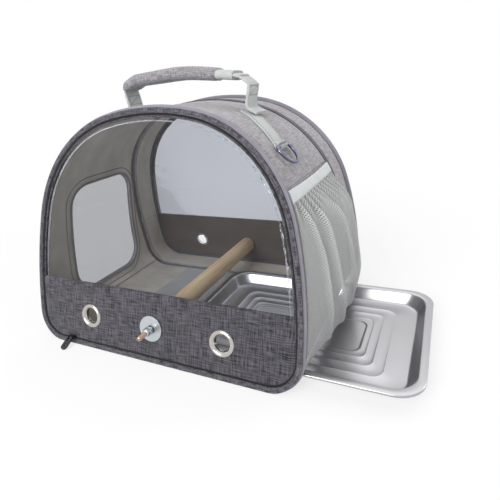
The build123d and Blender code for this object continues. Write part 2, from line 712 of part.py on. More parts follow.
RING_BAR_R = SHOULDER_R + 3.5
RING_BAR = (
    SHOULDER_C[0] + RING_BAR_R * math.cos(math.radians(RING_ANGLE)),
    RING_Y,
    SHOULDER_C[1] + RING_BAR_R * math.sin(math.radians(RING_ANGLE)),
)
STRAP_IN = WALL_OUT - 0.2
STRAP_OUT = STRAP_IN - 2.0
STRAP_START = 6.0
LOOP_BORE = RING_WIRE_R + 0.06
LOOP_OUT_R = RING_WIRE_R + 1.6
LOOP_LONG = 18.0
STRAP_END_WIDE = 24.0
TAB_R = 7.0
TAB_THICK = 2.4
TAB_GAP = 2.0
DIAGONAL = math.sqrt(0.5)


def shoulder_strap(side, leg_x):
    """Add the strap sewn down the shoulder from a leg of the handle, slanting forward to its loop."""
    top_x = side * (abs(leg_x) - STRAP_START)
    extrude(outline(STRAP_OUT), amount=REACH, both=True)
    extrude(outline(STRAP_IN), amount=REACH, both=True, mode=Mode.SUBTRACT)
    with BuildSketch() as footprint:
        with BuildLine():
            Polyline(
                (top_x, WEB_WIDE / 2 - 2),
                (side * RING_BAR[0], RING_Y + STRAP_END_WIDE / 2),
                (side * RING_BAR[0], RING_Y - STRAP_END_WIDE / 2),
                (top_x, -WEB_WIDE / 2 - 2),
                close=True,
            )
        make_face()
    extrude(footprint.sketch, amount=HEIGHT * 2, both=True, mode=Mode.INTERSECT)
    above(HEIGHT / 2)
    bar = Plane(origin=(side * RING_BAR[0], RING_Y, RING_BAR[2]), x_dir=(1, 0, 0), z_dir=(0, 1, 0))
    with BuildSketch(bar.offset(-LOOP_LONG / 2)) as loop:
        Circle(LOOP_OUT_R)
    extrude(loop.sketch, amount=LOOP_LONG)
    with BuildSketch(bar.offset(-LOOP_LONG)) as bore:
        Circle(LOOP_BORE)
    extrude(bore.sketch, amount=LOOP_LONG * 2, mode=Mode.SUBTRACT)


with BuildPart() as right_strap:
    shoulder_strap(1, HANDLE_RIGHT)
save(right_strap.part, "right_strap")

with BuildPart() as left_strap:
    shoulder_strap(-1, HANDLE_LEFT)
save(left_strap.part, "left_strap")

with BuildPart() as handle_tabs:
    for side, leg_x in ((1, HANDLE_RIGHT), (-1, HANDLE_LEFT)):
        tab_x = leg_x - side * (TAB_GAP + TAB_THICK / 2) - TAB_THICK / 2
        tab_foot = roof_height(min(abs(tab_x), abs(tab_x + TAB_THICK)), STRAP_OUT) + 0.1
        with BuildSketch(Plane.YZ.offset(tab_x)) as tab:
            with Locations((0, HANDLE_HINGE)):
                Circle(TAB_R)
            with Locations((0, (HANDLE_HINGE + tab_foot) / 2)):
                Rectangle(2 * TAB_R, HANDLE_HINGE - tab_foot)
        extrude(tab.sketch, amount=TAB_THICK)
save(handle_tabs.part, "handle_tabs")


def d_ring(side):
    """Add a wire D ring: its straight bar in the strap's loop, its bow hanging down the shoulder."""
    slope = math.radians(RING_ANGLE)
    lying = Plane(
        origin=(side * RING_BAR[0], RING_Y, RING_BAR[2]),
        x_dir=(0, 1, 0),
        z_dir=(side * math.cos(slope), 0, math.sin(slope)),
    )
    down = -1 if lying.y_dir.Z > 0 else 1
    half = RING_SPAN / 2
    bow = RING_LONG - RING_WIRE_R
    leg = bow - half
    with BuildPart(mode=Mode.PRIVATE) as wire:
        with BuildLine(lying) as path:
            Line((0, 0), (half - leg, 0))
            ThreePointArc(
                (half - leg, 0),
                (half - leg * (1 - DIAGONAL), leg * (1 - DIAGONAL) * down),
                (half, leg * down),
            )
            ThreePointArc(
                (half, leg * down),
                (half * DIAGONAL, (leg + half * DIAGONAL) * down),
                (0, bow * down),
            )
        with BuildSketch(Plane(origin=lying.origin, z_dir=lying.x_dir)) as section:
            Circle(RING_WIRE_R)
        sweep(section.sketch, path=path.line)
        mirror(about=Plane(origin=lying.origin, z_dir=lying.x_dir))
    return wire.part


right_d_ring = d_ring(1)
save(right_d_ring, "right_d_ring")
left_d_ring = d_ring(-1)
save(left_d_ring, "left_d_ring")

# ---------------------------------------------------------------- zip sliders and pulls
FRONT_SLIDER_X = -132.0
SLIDER_Z = 8.5
SLIDER_LONG = 11.0
SLIDER_WIDE = 4.4
SLIDER_THICK = 2.6
PULL_LONG = 18.0
PULL_WIDE = 9.0
PULL_THICK = 2.4
PULL_EYE_R = 2.3
PIN_R = 1.2
PIN_BORE_R = PIN_R + 0.06
BAIL_WIDE = 3.2
BAIL_SLOT = BAIL_WIDE + 0.8
PIN_STAND = SLIDER_THICK + 2.4
REAR_SLIDER_Z = 70.0
FLOOR_CLEAR = 0.3


def slider(seat, along):
    """Add a zip slider on a seat plane, with a bail that carries a pin across the pull."""
    with BuildSketch(seat) as body:
        RectangleRounded(along, SLIDER_WIDE, SLIDER_WIDE / 3)
    extrude(body.sketch, amount=SLIDER_THICK)
    with BuildSketch(seat) as bail:
        Rectangle(BAIL_WIDE, SLIDER_WIDE * 0.8)
    extrude(bail.sketch, amount=PIN_STAND + PIN_R * 0.6)
    pin_seat = Plane(origin=seat.origin + seat.z_dir * PIN_STAND, z_dir=seat.x_dir)
    with BuildSketch(pin_seat) as pin:
        Circle(PIN_R)
    extrude(pin.sketch, amount=PULL_WIDE / 2, both=True)


def pull(eye, across, along, thick_dir):
    """Add a pull tab that hangs from the pin: an eye with a slot for the bail, and a rounded tab."""
    flat = Plane(origin=eye, x_dir=across, z_dir=thick_dir)
    down = 1 if flat.y_dir.dot(along) > 0 else -1
    with BuildSketch(flat) as tab:
        with Locations((0, down * (PULL_LONG - PULL_WIDE / 2) / 2)):
            Rectangle(PULL_WIDE, PULL_LONG - PULL_WIDE / 2)
        with Locations((0, down * (PULL_LONG - PULL_WIDE / 2))):
            Circle(PULL_WIDE / 2)
        with Locations((0, down * (PULL_LONG - PULL_WIDE * 0.7))):
            SlotOverall(PULL_WIDE * 0.55, PULL_WIDE * 0.3, rotation=90, mode=Mode.SUBTRACT)
    extrude(tab.sketch, amount=PULL_THICK / 2, both=True)
    with BuildSketch(Plane(origin=eye, z_dir=across)) as knuckle:
        Circle(PULL_EYE_R)
    extrude(knuckle.sketch, amount=PULL_WIDE / 2, both=True)
    with BuildSketch(flat) as slot:
        Rectangle(BAIL_SLOT, PULL_WIDE * 1.3)
    extrude(slot.sketch, amount=PULL_WIDE, both=True, mode=Mode.SUBTRACT)
    with BuildSketch(Plane(origin=eye, z_dir=across)) as bore:
        Circle(PIN_BORE_R)
    extrude(bore.sketch, amount=PULL_WIDE, both=True, mode=Mode.SUBTRACT)


FRONT_SEAT = Plane(
    origin=(FRONT_SLIDER_X, face_y(True, SLIDER_Z, FACE + 0.3), SLIDER_Z), x_dir=(1, 0, 0), z_dir=FRONT.z_dir
)
FRONT_PIN = FRONT_SEAT.origin + FRONT_SEAT.z_dir * PIN_STAND
PULL_DIP = math.asin((FRONT_PIN.Z - PULL_THICK / 2 - FLOOR_CLEAR) / PULL_LONG)
PULL_ALONG = Vector(0, -math.cos(PULL_DIP), -math.sin(PULL_DIP))

with BuildPart() as front_slider:
    slider(FRONT_SEAT, SLIDER_LONG)
save(front_slider.part, "front_slider")

with BuildPart() as front_pull:
    pull(FRONT_PIN, Vector(1, 0, 0), PULL_ALONG, PULL_ALONG.cross(Vector(1, 0, 0)))
save(front_pull.part, "front_pull")

REAR_SEAT = Plane(
    origin=(
        -half_width(REAR_SLIDER_Z, 0) - 0.1,
        face_y(False, REAR_SLIDER_Z, REAR_ZIP_MID),
        REAR_SLIDER_Z,
    ),
    x_dir=(0, 1, 0),
    z_dir=(-1, 0, 0),
)
REAR_PIN = REAR_SEAT.origin + REAR_SEAT.z_dir * PIN_STAND

with BuildPart() as rear_slider:
    slider(REAR_SEAT, SLIDER_WIDE * 1.6)
save(rear_slider.part, "rear_slider")

with BuildPart() as rear_pull:
    pull(REAR_PIN, Vector(0, 1, 0), Vector(0, 0, -1), Vector(1, 0, 0))
save(rear_pull.part, "rear_pull")
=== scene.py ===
"""Looks of the bird travel carrier: cloth, clear sheets, mesh, webbing, wood and pressed steel."""

import logging
import math
from collections.abc import Callable, Sequence
from dataclasses import dataclass, field
from enum import Enum

import bmesh
import bpy
from mathutils import Matrix, Vector, noise


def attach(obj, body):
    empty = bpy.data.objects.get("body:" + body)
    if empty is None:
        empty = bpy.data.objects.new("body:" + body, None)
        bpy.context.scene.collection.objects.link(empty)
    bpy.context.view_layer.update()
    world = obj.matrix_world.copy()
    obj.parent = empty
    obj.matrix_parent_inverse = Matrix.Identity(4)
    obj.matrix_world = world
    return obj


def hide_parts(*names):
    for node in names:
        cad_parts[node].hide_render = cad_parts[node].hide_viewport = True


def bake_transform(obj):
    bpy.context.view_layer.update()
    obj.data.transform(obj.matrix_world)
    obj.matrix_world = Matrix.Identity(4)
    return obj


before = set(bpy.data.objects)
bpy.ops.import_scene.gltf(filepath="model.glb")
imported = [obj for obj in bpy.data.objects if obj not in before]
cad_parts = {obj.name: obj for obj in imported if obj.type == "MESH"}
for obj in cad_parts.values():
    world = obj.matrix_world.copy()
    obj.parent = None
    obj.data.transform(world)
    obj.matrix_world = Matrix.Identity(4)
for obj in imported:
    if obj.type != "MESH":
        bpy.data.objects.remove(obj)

MM = 0.001
FOLD_PAINTED_SHADING = "fold_painted_shading"  # painted highlight on a fold's crest, where the mesh also lies double, and painted shade in its lee and in the gathers' hollows
CLOTH_MAP = "Cloth"
log = logging.getLogger("carrier")

Point = tuple[float, float, float]
Pair = tuple[float, float]
Tree = bpy.types.NodeTree
Socket = bpy.types.NodeSocket
STITCH_MM = 2.1  # half a stitch and its gap


class Face(Enum):
    """The two leaning ends of the bag."""

    FRONT = -1
    REAR = 1


class Side(Enum):
    """The two sides of the bag."""

    LEFT = -1
    RIGHT = 1


# ---------------------------------------------------------------- finishes


def linear(hex_colour: str) -> tuple[float, float, float, float]:
    """Turn an sRGB hex colour such as #rrggbb into linear red, green, blue and alpha."""
    channels = [int(hex_colour[i : i + 2], 16) / 255 for i in (1, 3, 5)]
    red, green, blue = [c / 12.92 if c <= 0.04045 else ((c + 0.055) / 1.055) ** 2.4 for c in channels]
    return (red, green, blue, 1.0)


def add_node(tree: Tree, kind: str, inputs: dict | None = None, **settings: object) -> bpy.types.Node:
    """Add a node with its settings, values and links.

    Args:
        tree: Node tree that gets the node.
        kind: Blender's name of the node type, after ShaderNode.
        inputs: Input names or numbers, each with a value or the output socket to link from.
        **settings: Attributes of the node itself.

    Returns:
        The new node.
    """
    made = tree.nodes.new("ShaderNode" + kind)
    for name, value in settings.items():
        setattr(made, name, value)
    for key, value in (inputs or {}).items():
        if isinstance(value, Socket):
            tree.links.new(value, made.inputs[key])
        else:
            made.inputs[key].default_value = value
    return made


def grey_noise(tree: Tree, vector: Socket, detail: float = 2.0, roughness: float = 0.5) -> Socket:
    """Return the grey value of a noise whose grains are one unit wide."""
    inputs = {"Vector": vector, "Scale": 1.0, "Detail": detail, "Roughness": roughness}
    return add_node(tree, "TexNoise", inputs).outputs["Fac"]


def grey_bands(tree: Tree, vector: Socket, direction: str, distortion: float, scale: float = 1.0) -> Socket:
    """Return the grey value of a row of bands along a direction."""
    inputs = {"Vector": vector, "Scale": scale, "Distortion": distortion}
    return add_node(tree, "TexWave", inputs, bands_direction=direction).outputs["Fac"]


def remap(tree: Tree, value: Socket, low: float, high: float, to_low: float = 0.0,
        to_high: float = 1.0) -> Socket:
    """Return a value with the range from low to high stretched to a new one."""
    inputs = {"Value": value, "From Min": low, "From Max": high, "To Min": to_low, "To Max": to_high}
    return add_node(tree, "MapRange", inputs).outputs["Result"]


def calc(tree: Tree, operation: str, first: Socket, second: Socket | float, clamp: bool = False) -> Socket:
    """Return the result of one sum."""
    return add_node(tree, "Math", {0: first, 1: second}, operation=operation, use_clamp=clamp).outputs["Value"]


def between(tree: Tree, share: Socket, first: str, second: str) -> Socket:
    """Return a colour between two hex colours."""
    inputs = {"Factor": share, "A": linear(first), "B": linear(second)}
    return add_node(tree, "Mix", inputs, data_type="RGBA").outputs["Result"]


def bump(tree: Tree, height: Socket, strength: float, deep_mm: float, under: Socket | None = None) -> Socket:
    """Return the surface direction of a relief, laid over another one if that is given."""
    inputs = {"Height": height, "Strength": strength, "Distance": deep_mm * MM}
    return add_node(tree, "Bump", inputs | ({"Normal": under} if under else {})).outputs["Normal"]


def principled(tree: Tree, colour: Socket | str, roughness: Socket | float, **more: object) -> Socket:
    """Return the shader of a solid surface.

    Args:
        tree: Node tree to add to.
        colour: Colour socket or hex colour.
        roughness: Roughness socket or value.
        **more: Other inputs, with a low line for each space in their names.

    Returns:
        The shader socket.
    """
    inputs = {"Base Color": linear(colour) if isinstance(colour, str) else colour, "Roughness": roughness}
    inputs |= {name.replace("_", " "): value for name, value in more.items()}
    return add_node(tree, "BsdfPrincipled", inputs).outputs["BSDF"]


@dataclass(frozen=True)
class Finish:
    """One real material and how its surface was made."""

    name: str

    def material(self) -> bpy.types.Material:
        """Return the material, building it the first time it is asked for."""
        found = bpy.data.materials.get(self.name)
        if found:
            return found
        made = bpy.data.materials.new(self.name)
        made.use_nodes = True
        made.node_tree.nodes.clear()
        add_node(made.node_tree, "OutputMaterial", {"Surface": self.surface(made.node_tree)})
        return made

    def surface(self, tree: Tree) -> Socket:
        """Return the shader socket of the finish."""
        raise NotImplementedError

    def cloth_coords(self, tree: Tree, across_mm: float, along_mm: float) -> Socket:
        """Return coordinates that follow the cloth, with one unit for each pattern size."""
        uv = add_node(tree, "UVMap", uv_map=CLOTH_MAP).outputs["UV"]
        scale = (1 / (across_mm * MM), 1 / (along_mm * MM), 1.0)
        return add_node(tree, "Mapping", {"Vector": uv, "Scale": scale}).outputs["Vector"]

    def solid_coords(self, tree: Tree, size_mm: Point) -> Socket:
        """Return coordinates in the object's own space, with one unit for each size."""
        place = add_node(tree, "TexCoord").outputs["Object"]
        scale = tuple(1 / (size * MM) for size in size_mm)
        return add_node(tree, "Mapping", {"Vector": place, "Scale": scale}).outputs["Vector"]


@dataclass(frozen=True)
class Heather(Finish):
    """Plain-woven polyester from dark and pale yarns: flat, with broken pale slubs both ways."""

    dark: str = "#232227"
    pale: str = "#5b5960"
    thread_mm: float = 1.3  # the real yarn is 0.4 mm; it is drawn as coarse as the picture needs
    slub_mm: float = 18.0
    balance: float = 0.5
    contrast: float = 0.11
    roughness: float = 0.9
    relief: float = 0.3

    def surface(self, tree: Tree) -> Socket:
        """Return the shader socket of the woven cloth."""
        warp = grey_noise(tree, self.cloth_coords(tree, self.slub_mm, self.thread_mm), 1.0)
        weft = grey_noise(tree, self.cloth_coords(tree, self.thread_mm, self.slub_mm), 1.0)
        crossed = calc(tree, "MULTIPLY", calc(tree, "ADD", warp, weft), 0.5)
        flecks = remap(tree, crossed, self.balance - self.contrast, self.balance + self.contrast)
        shade = remap(tree, grey_noise(tree, self.cloth_coords(tree, 60.0, 60.0), 3.0), 0.0, 1.0, 0.86, 1.12)
        yarns = between(tree, flecks, self.dark, self.pale)
        colour = add_node(tree, "VectorMath", {0: yarns, "Scale": shade}, operation="SCALE").outputs["Vector"]
        relief = bump(tree, crossed, self.relief, 0.6)
        sheen = {"Sheen_Weight": 0.25, "Sheen_Roughness": 0.5}
        return principled(tree, colour, self.roughness, Normal=relief, Specular_IOR_Level=0.25, **sheen)


@dataclass(frozen=True)
class Ribbed(Finish):
    """Narrow-woven tape, webbing or elastic: raised ribs along or across the strip."""

    colour: str = "#c9ccca"
    shade: str = "#a9acab"
    rib_mm: float = 1.6
    cross_mm: float = 2.4
    relief: float = 0.5
    roughness: float = 0.75

    def surface(self, tree: Tree) -> Socket:
        """Return the shader socket of the woven strip."""
        ribs = grey_bands(tree, self.cloth_coords(tree, self.rib_mm * 2, self.rib_mm * 2), "X", 0.6)
        picks = grey_bands(tree, self.cloth_coords(tree, self.cross_mm * 2, self.cross_mm * 2), "Y", 0.4)
        woven = calc(tree, "MULTIPLY", ribs, picks)
        worn = grey_noise(tree, self.cloth_coords(tree, 22.0, 22.0), 4.0)
        colour = between(tree, remap(tree, calc(tree, "ADD", woven, worn), 0.3, 1.1), self.shade, self.colour)
        relief = bump(tree, woven, self.relief, 0.5)
        return principled(tree, colour, self.roughness, Normal=relief, Sheen_Weight=0.2, Specular_IOR_Level=0.3)


@dataclass(frozen=True)
class Lining(Finish):
    """Coated taffeta lining: fine and slightly glossy, with soft creases."""

    colour: str = "#7b7a72"
    # the crease colour is painted shade, laid into the hollows of the creases
    crease: str = "#6a6962"
    roughness: float = 0.6

    def surface(self, tree: Tree) -> Socket:
        """Return the shader socket of the lining."""
        creases = grey_noise(tree, self.cloth_coords(tree, 55.0, 30.0), 5.0, 0.55)
        weave = grey_bands(tree, self.cloth_coords(tree, 2.4, 2.4), "DIAGONAL", 1.5)
        # painted shade: the crease colour fills the low parts of the same noise that raises the creases
        colour = between(tree, remap(tree, creases, 0.3, 0.7), self.crease, self.colour)
        relief = bump(tree, weave, 0.15, 0.3, bump(tree, creases, 0.5, 3.0))
        return principled(tree, colour, self.roughness, Normal=relief, Sheen_Weight=0.1)


@dataclass(frozen=True)
class Net(Finish):
    """Warp-knitted mesh: pale yarns round rows of small open holes."""

    colour: str = "#cbcccc"
    course: str = "#a7a9a9"
    hole_mm: float = 2.0  # the real holes are 1.5 mm; they are drawn as coarse as the picture needs
    course_mm: float = 4.5
    open_share: float = 0.34
    see_through: float = 0.17

    def surface(self, tree: Tree) -> Socket:
        """Return the shader socket of the mesh, partly clear at its holes."""
        straight = self.cloth_coords(tree, self.hole_mm, self.hole_mm)
        slant = (0, 0, math.radians(45))
        turned = add_node(tree, "Mapping", {"Vector": straight, "Rotation": slant}).outputs["Vector"]
        grid = {"Vector": turned, "Scale": 1.0, "Randomness": 0.0}
        cells = add_node(tree, "TexVoronoi", grid).outputs["Distance"]
        yarn = remap(tree, cells, self.open_share - 0.08, self.open_share + 0.08, self.see_through)
        along = self.course_mm * 3.2
        courses = grey_bands(tree, self.cloth_coords(tree, along, along), "Y", 0.8, 5.0)
        # painted highlight and shade of the folds: the mesh's attribute lightens the knit on crests and darkens
        # it in their lee and hollows
        fold = add_node(tree, "Attribute", attribute_name=FOLD_PAINTED_SHADING).outputs["Fac"]
        knit = between(tree, courses, self.course, self.colour)
        inputs = {"Color": knit, "Value": calc(tree, "ADD", fold, 1.0)}
        shaded_knit = add_node(tree, "HueSaturation", inputs).outputs["Color"]
        return principled(tree, shaded_knit, 0.7, Alpha=yarn, Normal=bump(tree, yarn, 0.4, 0.4), Sheen_Weight=0.3)


@dataclass(frozen=True)
class Vinyl(Finish):
    """Clear calendered vinyl sheet: see-through, glossy at a slant, with a faint haze."""

    tint: str = "#f4f6fa"
    haze: float = 0.02
    gloss: float = 0.5
    roughness: float = 0.12
    body_colour: str = "#e8ebf0"

    def surface(self, tree: Tree) -> Socket:
        """Return the shader socket of the clear sheet."""
        slant = add_node(tree, "Fresnel", {"IOR": 1.45}).outputs["Fac"]
        share = remap(tree, slant, 0.03, 1.0, self.haze, self.gloss)
        clear = add_node(tree, "BsdfTransparent", {"Color": linear(self.tint)}).outputs["BSDF"]
        shine = principled(tree, self.body_colour, self.roughness, Specular_IOR_Level=1.0)
        return add_node(tree, "MixShader", {0: share, 1: clear, 2: shine}).outputs["Shader"]


@dataclass(frozen=True)
class Metal(Finish):
    """Bare or plated metal: polished, pressed or rolled, with faint waviness and handling marks."""

    colour: str = "#c9c9cc"
    roughness: float = 0.2
    variation: float = 0.1
    wave_mm: float = 30.0
    relief: float = 0.15

    def surface(self, tree: Tree) -> Socket:
        """Return the shader socket of the metal."""
        waves = grey_noise(tree, self.solid_coords(tree, (self.wave_mm,) * 3), 3.0)
        low, high = max(self.roughness - self.variation, 0.03), self.roughness + self.variation
        rough, relief = remap(tree, waves, 0.0, 1.0, low, high), bump(tree, waves, self.relief, 1.0)
        return principled(tree, self.colour, rough, Metallic=1.0, Normal=relief)


@dataclass(frozen=True)
class Timber(Finish):
    """Turned and sanded beech dowel, unfinished: long straight grain with small dark flecks."""

    pale: str = "#efd5ae"
    dark: str = "#c9ab84"

    def surface(self, tree: Tree) -> Socket:
        """Return the shader socket of the wood."""
        grain = grey_noise(tree, self.solid_coords(tree, (4.0, 90.0, 4.0)), 6.0, 0.6)
        flecks = remap(tree, grey_noise(tree, self.solid_coords(tree, (0.9, 7.0, 0.9))), 0.62, 0.75, 0.0, 0.5)
        share = calc(tree, "ADD", remap(tree, grain, 0.35, 0.7), flecks, clamp=True)
        relief = bump(tree, grain, 0.2, 0.3)
        colour = between(tree, share, self.pale, self.dark)
        return principled(tree, colour, 0.55, Normal=relief, Specular_IOR_Level=0.3)


@dataclass(frozen=True)
class Moulded(Finish):
    """Moulded plastic or rubber: one colour, a fine leathery grain and a soft shine."""

    colour: str = "#1f1e24"
    roughness: float = 0.45
    grain_mm: float = 1.2

    def surface(self, tree: Tree) -> Socket:
        """Return the shader socket of the plastic."""
        grain = grey_noise(tree, self.solid_coords(tree, (self.grain_mm,) * 3))
        rough = remap(tree, grain, 0.0, 1.0, self.roughness - 0.1, self.roughness + 0.1)
        return principled(tree, self.colour, rough, Normal=bump(tree, grain, 0.15, 0.2))


DARK_CLOTH = Heather("heather_polyester_dark")
# the gusset's cloth is the same weave from paler yarns
PALE_CLOTH = Heather("heather_polyester_pale", dark="#858187", pale="#b2aeb2", slub_mm=16.0)
GRIP_CLOTH = Heather("heather_polyester_grip", dark="#716f74", pale="#a6a4a8", thread_mm=1.4, slub_mm=10.0)
# the margin outside the zip is turned twice, so its slubs close up and it reads darker
MARGIN_CLOTH = Heather("heather_polyester_margin", dark="#2b2a2f", pale="#68656d", slub_mm=10.0)
BINDING = Ribbed("polyester_binding_tape", "#98959e", "#7c7983", rib_mm=1.0, cross_mm=4.0, relief=0.3)
WEBBING = Ribbed("polypropylene_webbing", colour="#cfd2d0", shade="#aeb1b0")
ELASTIC = Ribbed("woven_elastic", colour="#e7ebec", shade="#cbd1d2", rib_mm=6.0, cross_mm=1.5, roughness=0.8)
ZIP_TAPE = Ribbed("nylon_zip_tape", colour="#26252b", shade="#17161b", rib_mm=1.2, cross_mm=1.2, roughness=0.7)
GREY_TAPE = Ribbed("nylon_zip_tape_grey", "#6e6c72", "#55535a", rib_mm=1.2, cross_mm=1.2, roughness=0.7)
ZIP_COIL = Moulded("nylon_zip_coil", colour="#1f1e24", roughness=0.38)
TAUPE = Lining("coated_taffeta_lining", colour="#d0cabf", crease="#b3ada2")
UMBER = Lining("coated_taffeta_rear_band", colour="#564c44", crease="#443b34")
BOARD = Lining("taffeta_covered_board", colour="#b3b4b4", crease="#a2a4a4", roughness=0.5)
POCKET_NET = Net("warp_knitted_mesh")
WINDOW_NET = Net("fine_knitted_mesh", "#6e6e74", "#66666c", hole_mm=1.6, open_share=0.38, see_through=0.1)
CLEAR = Vinyl("clear_vinyl_sheet")
REAR_CLEAR = Vinyl("clear_vinyl_sheet_rear", tint="#c6c8cd", haze=0.15, body_colour="#c9cbd0")
# the cut edge of the sheet is folded and welded, so it turns milky and catches the light
WELDED_EDGE = Vinyl("clear_vinyl_welded_edge", haze=0.12, gloss=0.9, roughness=0.16, body_colour="#e9ebee")
STEEL = Metal("pressed_stainless_steel", colour="#b4b3b6", roughness=0.3, variation=0.05, wave_mm=40.0)
ZINC = Metal("zinc_plated_steel", colour="#bfc5c8", roughness=0.33, variation=0.08, wave_mm=5.0)
YELLOW_ZINC = Metal("yellow_zinc_plated_steel", colour="#b39a86", roughness=0.3, variation=0.08, wave_mm=4.0)
NICKEL = Metal("nickel_plated_brass", colour="#bfbcb8", roughness=0.16, variation=0.06, wave_mm=8.0)
GUNMETAL = Metal("gunmetal_plated_steel", colour="#757788", roughness=0.28, variation=0.06, wave_mm=6.0)
SPRING = Metal("rolled_spring_steel", colour="#8b8d90", roughness=0.35)
BEECH = Timber("sanded_beech")
THREAD_DARK = Moulded("polyester_thread_dark", colour="#4a484f", roughness=0.8, grain_mm=0.4)
INNER_TAPE = Lining("taffeta_window_facing", colour="#8b8487", crease="#7a7376")
SEAM_SHADE = Moulded("taffeta_seam_thread", colour="#8a847d", roughness=0.8, grain_mm=0.4)


# ---------------------------------------------------------------- mesh making


class Weaver:
    """Collects the points, faces and cloth coordinates of one mesh, all in millimetres."""

    def __init__(self, name: str) -> None:
        """Start an empty mesh of that name."""
        self.name = name
        self.points: list[Vector] = []
        self.faces: list[tuple[int, ...]] = []
        self.coords: list[list[Pair]] = []
        self.slots: list[int] = []

    def face(self, corners: Sequence[int], coords: Sequence[Pair], slot: int = 0) -> None:
        """Add one face with its cloth coordinates and its finish's number."""
        self.faces.append(tuple(corners))
        self.coords.append(list(coords))
        self.slots.append(slot)

    def grid(self, rows: Sequence[Sequence[Point]], coord: Callable[[int, int], Pair], wrap: bool = False,
            closed: bool = False, slot_of: Callable[[int], int] = lambda column: 0) -> int:
        """Add a net of quads through rows of points.

        Args:
            rows: Rows of equal length.
            coord: Cloth coordinates in millimetres of a row and column.
            wrap: Whether the last row joins the first.
            closed: Whether the last column joins the first.
            slot_of: Finish number of a column's faces.

        Returns:
            The number of the first point.
        """
        start = len(self.points)
        high, wide = len(rows), len(rows[0])
        for row in rows:
            self.points.extend(Vector(p) for p in row)
        for i in range(high if wrap else high - 1):
            for j in range(wide if closed else wide - 1):
                below, beside = (i + 1) % high, (j + 1) % wide
                first, second = start + i * wide, start + below * wide
                corners = (first + j, first + beside, second + beside, second + j)
                coords = [coord(i, j), coord(i, j + 1), coord(i + 1, j + 1), coord(i + 1, j)]
                self.face(corners, coords, slot_of(j))
        return start

    def rod(self, rows: Sequence[Sequence[Point]], coord: Callable[[int, int], Pair],
            wrap: bool = False) -> None:
        """Add a closed tube through rows of points, capped at both ends unless it wraps round."""
        start = self.grid(rows, coord, wrap, True)
        if wrap:
            return
        wide = len(rows[0])
        for row in (0, len(rows) - 1):
            corners = [start + row * wide + j for j in range(wide)]
            self.face(corners, [coord(row, j) for j in range(wide)])

    def shell(self, outer: Sequence[Sequence[Point]], inner: Sequence[Sequence[Point]],
            coord: Callable[[int, int], Pair]) -> None:
        """Add a sheet with thickness; its outer side takes finish 0 and its inner side finish 1."""
        wide = len(outer[0])
        rows = [list(a) + list(reversed(b)) for a, b in zip(outer, inner)]

        def folded(i: int, j: int) -> Pair:
            """Return the coordinates of a column on either side of the sheet."""
            column = j if j < wide else 2 * wide - 1 - j
            return coord(i, max(column, 0))

        start = self.grid(rows, folded, False, True, lambda j: 1 if wide <= j < 2 * wide - 1 else 0)
        total = 2 * wide
        for row in (0, len(rows) - 1):
            base = start + row * total
            for j in range(wide - 1):
                corners = (base + j, base + j + 1, base + total - 2 - j, base + total - 1 - j)
                self.face(corners, [coord(row, j), coord(row, j + 1), coord(row, j + 1), coord(row, j)])

    def bar(self, start: Vector, end: Vector, up: Vector, wide: float, thick: float, slot: int = 0) -> None:
        """Add a small bar with pointed ends between two points, such as one stitch or zip tooth."""
        along = (end - start).normalized()
        side = along.cross(up).normalized() * (wide / 2)
        rise = up.normalized() * (thick / 2)
        middle = (start + end) / 2
        reach = (end - start) * 0.3
        base = len(self.points)
        for centre in (middle - reach, middle + reach):
            self.points.extend((centre + side, centre + rise, centre - side, centre - rise))
        self.points.extend((start, end))
        flat = [(0.0, 0.0)]
        for j in range(4):
            k = (j + 1) % 4
            self.face((base + j, base + k, base + 4 + k, base + 4 + j), flat * 4, slot)
            self.face((base + 8, base + k, base + j), flat * 3, slot)
            self.face((base + 9, base + 4 + j, base + 4 + k), flat * 3, slot)

    def make(self, finishes: Sequence[Finish], sharp: float = 38.0) -> bpy.types.Object:
        """Turn what was collected into an object.

        Args:
            finishes: Finishes by number.
            sharp: Angle in degrees above which an edge stays crisp.

        Returns:
            The object, linked to the scene and riding on nothing yet.
        """
        mesh = bpy.data.meshes.new(self.name)
        mesh.from_pydata([p * MM for p in self.points], [], self.faces)
        layer = mesh.uv_layers.new(name=CLOTH_MAP)
        for polygon, coords, number in zip(mesh.polygons, self.coords, self.slots):
            polygon.material_index = number
            for loop, (u, v) in zip(polygon.loop_indices, coords):
                layer.data[loop].uv = (u * MM, v * MM)
        for finish in finishes:
            mesh.materials.append(finish.material())
        shaped = bmesh.new()
        shaped.from_mesh(mesh)
        bmesh.ops.recalc_face_normals(shaped, faces=shaped.faces)
        shaped.to_mesh(mesh)
        shaped.free()
        smooth(mesh, sharp)
        made = bpy.data.objects.new(self.name, mesh)
        bpy.context.scene.collection.objects.link(made)
        return made


def smooth(mesh: bpy.types.Mesh, sharp: float) -> None:
    """Shade a mesh smooth except at edges steeper than the angle in degrees."""
    mesh.shade_smooth()
    mesh.set_sharp_from_angle(angle=math.radians(sharp))


def settle(obj: bpy.types.Object, sharp: float = 38.0) -> None:
    """Apply an object's modifiers to its mesh."""
    evaluated = obj.evaluated_get(bpy.context.evaluated_depsgraph_get())
    mesh = bpy.data.meshes.new_from_object(evaluated)
    obj.modifiers.clear()
    obj.data = mesh
    smooth(mesh, sharp)


def cut(obj: bpy.types.Object, cutters: Sequence[bpy.types.Object]) -> None:
    """Cut closed shapes out of an object and remove them."""
    for cutter in cutters:
        gap = obj.modifiers.new("gap", "BOOLEAN")
        gap.object = cutter
        gap.solver = "EXACT"
    settle(obj)
    for cutter in cutters:
        bpy.data.objects.remove(cutter)


def dress(obj: bpy.types.Object, body: str, slot: str, *nodes: str) -> bpy.types.Object:
    """Let a piece ride on a body and stand for CAD nodes."""
    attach(obj, body)
    if nodes:
        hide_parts(*nodes)
    log.info("%s rides on %s", obj.name, body)
    return obj


